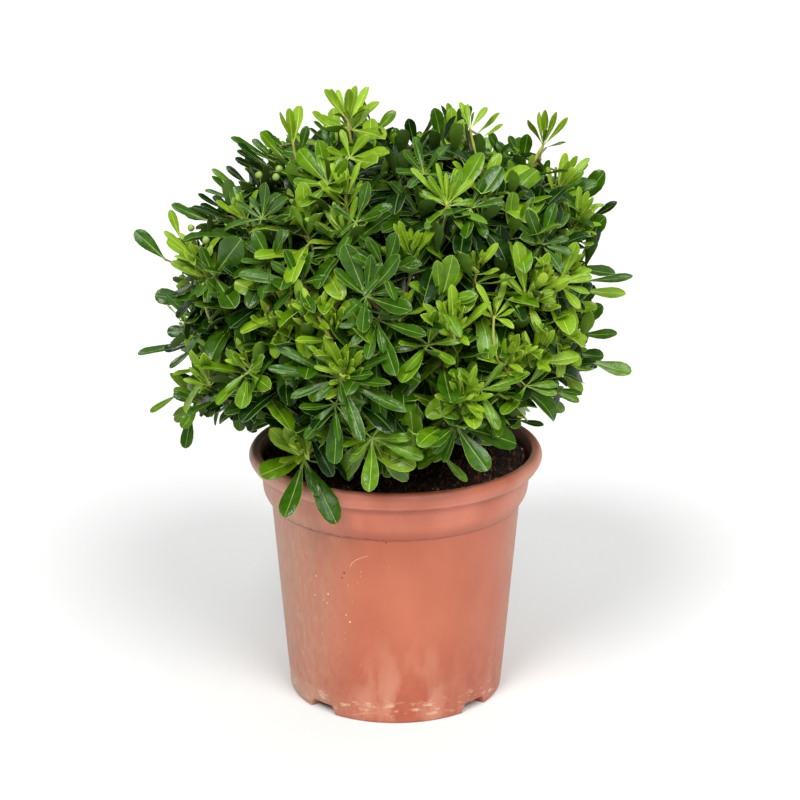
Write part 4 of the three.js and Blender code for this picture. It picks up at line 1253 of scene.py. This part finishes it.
def leaf_material(name, dark, light, roughness):
    """Leathery leaf skin: two near tones in soft patches a few millimetres wide, under a waxy gloss."""
    material, tree, shader, place = new_material(name, IOR=1.45, Specular_IOR_Level=LEAF_GLOSS)
    colour, patches = patchy(tree, place, 7, dark, light, 0.25, 0.75, 4)
    gloss = {"Value": patches, "To Min": roughness - 0.06, "To Max": roughness + 0.08}
    veins = add(tree, "ShaderNodeTexNoise", {"Vector": place, "Scale": 1 / (3 * MM), "Detail": 2})
    relief = add(tree, "ShaderNodeBump", {"Height": veins, "Strength": 0.6, "Distance": 0.5 * MM})
    feed(shader, {"Base Color": colour, "Roughness": add(tree, "ShaderNodeMapRange", gloss), "Normal": relief})
    return material


leaf_shapes = bpy.data.collections.new("leaf shapes")
habit = random.Random(5)
for number in range(SPREADING_SHAPES + UPRIGHT_SHAPES):
    if number < SPREADING_SHAPES:
        curl = habit.uniform(0.05, 0.95)
        fold = habit.uniform(0.12, 0.5)
        twist = habit.uniform(-0.5, 0.5)
    else:
        curl = habit.uniform(-0.4, 0.15)
        fold = habit.uniform(0.2, 0.45)
        twist = habit.uniform(-0.2, 0.2)
    sway = habit.uniform(-0.06, 0.06)
    leaf_shapes.objects.link(leaf_shape(number, curl, fold, twist, sway, number % 3 != 1))


def upright(draw):
    """One of the nearly straight leaf shapes."""
    return draw.randrange(SPREADING_SHAPES, SPREADING_SHAPES + UPRIGHT_SHAPES)


def leaf_way(axis, turn, tilt):
    """The way a leaf points that leans out from its twig by a tilt, at a turn round it."""
    spoke = Quaternion(axis, turn) @ axis.orthogonal().normalized()
    return spoke * math.sin(tilt) + axis * math.cos(tilt)


def leaf_turn(along, face):
    """The turn that lays a leaf's length along one direction with its upper face towards another."""
    across = face.cross(along).normalized()
    normal = along.cross(across).normalized()
    return Matrix((along, across, normal)).transposed().to_quaternion()


# How far leaves may reach: to the front and the back in mm, and out of the crown's dome in shares of its reach
CROWN_DEPTH = 193
LEAF_OVER_DOME = 1.02


def lay_leaf(sprays, tint, root, along, face, length, breadth, shape, stray=None):
    """Adds one leaf to its spray, unless it would meet the pot or leave the crown by more than its stray."""
    if any(hits_pot(root + along * length * share) for share in (0.35, 0.7, 1)):
        return
    tip = root + along * length
    if abs(tip.y) > CROWN_DEPTH:
        return
    if stray is not None:
        if share_of_dome(tip) > LEAF_OVER_DOME + stray or not in_edge(tip.lerp(CROWN_CENTRE, stray)):
            return
    sprays.setdefault(tint, []).append((root, leaf_turn(along, face), length, breadth, shape))


def along_line(line, back):
    """The place on a twig at a distance back from its tip."""
    for b, a in zip(line[::-1], line[-2::-1]):
        step = (b - a).length
        if back <= step:
            return b.lerp(a, back / step)
        back -= step
    return line[0]


# Old rosettes: the tints of inner and outer ones, how many leaves they have, how far down the twig they start, the
# tilt of the lowest leaf, the tilt and the length of the top one without and with new growth, and how far they droop
# The deep tint is partly painted shade: a darker green than the old leaves' own, laid on the inner crown
INNER_TINTS = ("deep", "deep", "dark")
OUTER_TINTS = ("deep", "deep", "dark", "dark", "mid", "mid", "light")
INNER_LEAVES = 9
OUTER_LEAVES = (13, 16)
ROSETTE_DEPTH = 34
LOWEST_TILT = 98
TOP_TILTS = (24, 50)
SMALLEST_LEAVES = (0.62, 0.86)
LEAF_DROOP = 0.12


def rosette(shoot, sprays, draw):
    """Old leaves in a spiral round the end of a twig, the lowest spread wide and the top ones nearer upright."""
    axis = shoot["axis"]
    turn = draw.uniform(0, 2 * math.pi)
    inner = shoot["layer"] == "inner"
    count = INNER_LEAVES if inner else draw.randint(*OUTER_LEAVES)
    tint = draw.choice(INNER_TINTS if inner else OUTER_TINTS)
    stray = draw.choice((0, 0, 0, 0.03))
    top, smallest = TOP_TILTS[shoot["new"] > 0], SMALLEST_LEAVES[shoot["new"] > 0]
    face = (axis + UP * 0.5).normalized()
    for i in range(count):
        age = 1 - i / (count - 1)
        root = along_line(shoot["line"], 1 + ROSETTE_DEPTH * age ** 2)
        tilt = math.radians(top + (LOWEST_TILT - top) * age ** 0.8 + draw.uniform(-13, 13))
        along = (leaf_way(axis, turn + i * GOLDEN_ANGLE, tilt) - UP * LEAF_DROOP * age).normalized()
        length = LEAF_LENGTH * (smallest + (1 - smallest) * min(1, 2 * age)) * draw.uniform(0.84, 1.08)
        shape = draw.randrange(SPREADING_SHAPES) if age > 0.25 else upright(draw)
        lay_leaf(sprays, tint, root, along, face, length, draw.uniform(0.82, 1.18), shape, stray)


# Rosettes whose leaf tips are told: the longest leaf in leaf lengths, and how many short leaves stand round the end
LONGEST_SEEN = 1.2
SHORT_LEAVES = 5


def seen_rosette(shoot, sprays, draw):
    """The leaves whose tips are told one by one, and a few short ones round the twig's end."""
    root = shoot["line"][-1]
    for x, y, breadth in shoot["leaf tips"]:
        tip = on_crown(x, y, TIP_DEPTH)
        way = (tip if share_of_dome(tip) < 1 else seen_at(x, y, root.y - 6)) - root
        length = min(way.length, LONGEST_SEEN * LEAF_LENGTH)
        face = Vector((draw.uniform(-0.5, 0.3), -0.75, draw.uniform(0.4, 0.9)))
        lay_leaf(sprays, shoot["tint"], root, way.normalized(), face.normalized(), length, breadth, upright(draw))
    axis = shoot["axis"]
    young = shoot["tint"] in ("fresh", "new")
    lift, breadth = (0.9, 0.62) if young else (0, 0.8)
    for i in range(SHORT_LEAVES):
        spoke = Quaternion(axis, i * GOLDEN_ANGLE) @ axis.orthogonal().normalized()
        along = (spoke + axis * draw.uniform(0.2, 0.9) + UP * lift).normalized()
        length = LEAF_LENGTH * draw.uniform(0.4, 0.6)
        lay_leaf(sprays, shoot["tint"], root, along, axis, length, breadth, draw.randrange(SPREADING_SHAPES), 0)


# New growth: the tints of its lower and upper leaves, the height in mm from which a stem is tall, the share of a
# short and of a tall one that is bare, the least and the added length of a leaf in mm, and the tilt at the bud
NEW_TINTS = (("light", "fresh"), ("fresh", "fresh"), ("fresh", "new"), ("new", "new"))
TALL = 25
BARE_SHARES = (0.1, 0.35)
NEW_LENGTHS = (13, 19)
BUD_TILT = 8


def new_rosette(shoot, sprays, draw):
    """Young leaves up a new stem, small at its foot, longest near its top and closing round the bud."""
    line = shoot["new line"]
    axis = (line[-1] - line[-2]).normalized()
    turn = draw.uniform(0, 2 * math.pi)
    count = draw.randint(8, 11) + int(shoot["new"] / 4)
    lower, upper = draw.choice(NEW_TINTS)
    spread, vigour = draw.uniform(48, 78), draw.uniform(0.8, 1.1)
    stray = None if shoot["layer"] in ("placed", "hung") else 0
    bare = BARE_SHARES[shoot["new"] > TALL]
    least, added = NEW_LENGTHS
    face = (axis + Vector((0, -0.5, 0)) * (shoot["layer"] == "placed")).normalized()
    for i in range(count):
        t = i / (count - 1)
        step = (bare + (1 - bare) * t ** 0.8) * (len(line) - 1)
        k = min(int(step), len(line) - 2)
        root = line[k].lerp(line[k + 1], step - k)
        tilt = math.radians(spread + (BUD_TILT - spread) * t ** 0.8 + draw.uniform(-9, 9))
        along = leaf_way(axis, turn + i * GOLDEN_ANGLE + draw.uniform(-0.3, 0.3), tilt).normalized()
        length = vigour * (least + added * math.sin(math.pi * (0.28 + 0.64 * t))) * draw.uniform(0.65, 1.15)
        shape, breadth = upright(draw), draw.uniform(0.5, 0.8)
        lay_leaf(sprays, lower if t < 0.45 else upper, root, along, face, length, breadth, shape, stray)


RIB_DULLER = 0.1
UNDERSIDE_ROUGHNESS = 0.6
# Each tint of spray: the blade's two tones, the rib's and margin's, the underside's, and the blade's roughness
TINTS = {
    # deep: the old leaves' dark green made darker still, painted shade for the inner and lower crown
    "deep": (("#0d2504", "#173706"), ("#5f7c38", "#748d46"), ("#3a5719", "#466320"), 0.24),
    "dark": (("#244806", "#3a6108"), ("#708d3c", "#879f4c"), ("#45661c", "#527224"), 0.24),
    "mid": (("#476b07", "#5e860b"), ("#88a344", "#9bb255"), ("#587c1f", "#668a29"), 0.25),
    "light": (("#658910", "#7b9d19"), ("#9cb44e", "#aec460"), ("#72982a", "#82a834"), 0.27),
    "fresh": (("#688c10", "#7d9e1b"), ("#afc64a", "#bfd25c"), ("#8fb032", "#9fbe3e"), 0.38),
    "new": (("#779a18", "#8aab28"), ("#b8cc58", "#c6d66c"), ("#a0be34", "#b0cb42"), 0.4),
}
sprays = {}
for tip, breadth, tint in HUNG_LEAVES:
    root = HUNG_SHOOT + Vector((draw.uniform(-3, 3), draw.uniform(-3, 1), draw.uniform(-5, 1)))
    way = Vector(tip) - root
    face = (Vector((-0.2, -0.8, 0.6)) + Vector((way.x, 0, 0)) * 0.01).normalized()
    lay_leaf(sprays, tint, root, way.normalized(), face, way.length, breadth, upright(draw))
for foot, tip, breadth, tint in edge_feet:
    way = tip - foot
    face = Vector((0, -1, 0.5)) if way.z < -0.4 * way.length else UP + Vector((0, draw.uniform(-1.8, -0.7), 0))
    lay_leaf(sprays, tint, foot, way.normalized(), face.normalized(), way.length, breadth, upright(draw))
for shoot in shoots:
    if shoot["layer"] == "seen":
        seen_rosette(shoot, sprays, draw)
    elif shoot["layer"] != "hung":
        rosette(shoot, sprays, draw)
    if shoot["new"]:
        new_rosette(shoot, sprays, draw)
leaves_in_rosettes = leaf_tree()
for tint, leaves in sprays.items():
    mesh = bpy.data.meshes.new(tint + " leaf points")
    mesh.from_pydata([root * MM for root, *_ in leaves], [], [])
    turns = [value for _, turn, *_ in leaves for value in turn]
    sizes = [value * MM for _, _, length, breadth, _ in leaves for value in (length, length * breadth, length)]
    mesh.attributes.new("turn", "QUATERNION", "POINT").data.foreach_set("value", turns)
    mesh.attributes.new("size", "FLOAT_VECTOR", "POINT").data.foreach_set("vector", sizes)
    mesh.attributes.new("shape", "INT", "POINT").data.foreach_set("value", [shape for *_, shape in leaves])
    blade, rib, under, roughness = TINTS[tint]
    piece = grown(f"{tint}_leaves", leaves_in_rosettes, mesh, {
        "Leaf shapes": leaf_shapes,
        "Blade": leaf_material(f"{tint} leaf blade", *blade, roughness),
        "Rib and margin": leaf_material(f"{tint} leaf rib", *rib, roughness + RIB_DULLER),
        "Underside": leaf_material(f"{tint} leaf underside", *under, UNDERSIDE_ROUGHNESS),
    })
    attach(piece, "root")
    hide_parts(*mass_nodes)
for shape in tuple(leaf_shapes.objects):
    bpy.data.objects.remove(shape)
bpy.data.collections.remove(leaf_shapes)

# Buds and seed capsules: two twigs end in a small brown scaly bud, and five round green capsules, each as big as a
# pea, sit among the leaves of the upper left side. The capsules are smooth and swell in three lobes.
BUDS = [(268, 309), (273, 260)]
CAPSULES = [(279, 169), (276, 177), (259, 175), (206, 240), (191, 228)]
RIPE_TURNS = 18
LOBE_SWELL = 0.06
# Each kind: its name, where in the camera's frame it is seen, how deep in the crown it sits and its size in mm, its
# two colours, its lobes, and its profile in shares of its size
FRUITS = [
    ("seed_capsules", CAPSULES, 9, 5.6, ("#75903a", "#8ea64c"), 3,
     [(0, -0.5), (0.2, -0.46), (0.38, -0.32), (0.49, -0.1), (0.48, 0.14), (0.36, 0.36), (0.16, 0.48), (0.05, 0.56),
      (0, 0.58)]),
    ("winter_buds", BUDS, 14, 5, ("#5f4c22", "#7d6532"), 5,
     [(0, -0.3), (0.2, -0.28), (0.3, -0.05), (0.27, 0.2), (0.15, 0.45), (0.04, 0.62), (0, 0.65)]),
]


def fruit_tree():
    """Puts one small fruit or bud on each point."""
    tree, given, out = new_tree("fruits on points", {"Fruit": "Object", "Size": "Float", "Skin": "Material"})
    fruit = add(tree, "GeometryNodeObjectInfo", {"Object": given["Fruit"]})
    turn = add(tree, "FunctionNodeRandomValue", {1: (0.6, 0.6, FULL_TURN)}, data_type="FLOAT_VECTOR")
    copies = add(tree, "GeometryNodeInstanceOnPoints", {
        "Points": given["Geometry"], "Instance": fruit.outputs["Geometry"], "Rotation": turn, "Scale": given["Size"],
    })
    dress(tree, out, copies, given["Skin"])
    return tree


def ripe_shape(name, profile, lobes):
    """A small turned body whose sides swell in lobes."""
    def swell(point):
        angle = math.atan2(point.y, point.x)
        share = 1 + LOBE_SWELL * math.cos(lobes * angle)
        return Vector((point.x * share, point.y * share, point.z))
    piece = turned(name, [Vector(corner) / MM for corner in profile], RIPE_TURNS, swell)
    piece.data.shade_smooth()
    return piece


fruits = fruit_tree()
for name, places, inset, size, (dark, light), lobes, profile in FRUITS:
    skin, tree, shader, place = new_material(name.replace("_", " ") + " skin", Roughness=0.5)
    feed(shader, {"Base Color": patchy(tree, place, 2, dark, light)[0]})
    fruit = ripe_shape(name + "_shape", profile, lobes)
    spots = bpy.data.meshes.new(name + " places")
    spots.from_pydata([on_crown(x, y, inset) * MM for x, y in places], [], [])
    piece = grown(name, fruits, spots, {"Fruit": fruit, "Size": size * MM, "Skin": skin})
    bpy.data.objects.remove(fruit)
    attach(piece, "root")
    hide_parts(*mass_nodes)

# Studio: a matt white sheet under soft light from above and in front, as for a shop photograph. It isn't part of
# the plant.
FLOOR_METRES = 6
FLOOR_SIDES = 96
# Each lamp: where it stands, how wide it is in degrees, its strength, and its share in the highlights
LAMPS = [
    ("key", (-0.38, -0.75, 0.9), 22, 2.3, 1),
    ("second key", (0.4, -0.76, 0.84), 30, 2.3, 1),
    ("overhead", (0.1, 0.2, 1.0), 80, 1.2, 0.3),
]
SKY_STRENGTH = {"From Min": 0.05, "From Max": 0.14, "To Min": 1, "To Max": 0.19}

floor_shape = bmesh.new()
bmesh.ops.create_circle(floor_shape, cap_ends=True, segments=FLOOR_SIDES, radius=FLOOR_METRES)
studio_floor = shown("studio_floor", mesh_from("studio floor", floor_shape))
paper = new_material("matt white sheet", Base_Color=linear("#dcdddc"), Roughness=0.9)[0]
studio_floor.data.materials.append(paper)
studio_floor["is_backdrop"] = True
for name, place, spread, power, shine in LAMPS:
    lamp = bpy.data.lights.new(name, "SUN")
    lamp.angle = math.radians(spread)
    lamp.energy = power
    lamp.specular_factor = shine
    shown(name, lamp).rotation_euler = (-Vector(place)).to_track_quat("-Z", "Y").to_euler()
world = bpy.data.worlds.new("bright room")
world.use_nodes = True
sky = world.node_tree
way = add(sky, "ShaderNodeTexCoord").outputs["Generated"]
height = add(sky, "ShaderNodeSeparateXYZ", {"Vector": way}).outputs["Z"]
glow = add(sky, "ShaderNodeMapRange", {"Value": height, **SKY_STRENGTH})
feed(sky.nodes["Background"], {"Color": (1, 1, 1, 1), "Strength": glow})
bpy.context.scene.world = world
bpy.context.scene.view_settings.view_transform = "Standard"

boxes = [[list(corner) for corner in box] for box in (cad_box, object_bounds())]
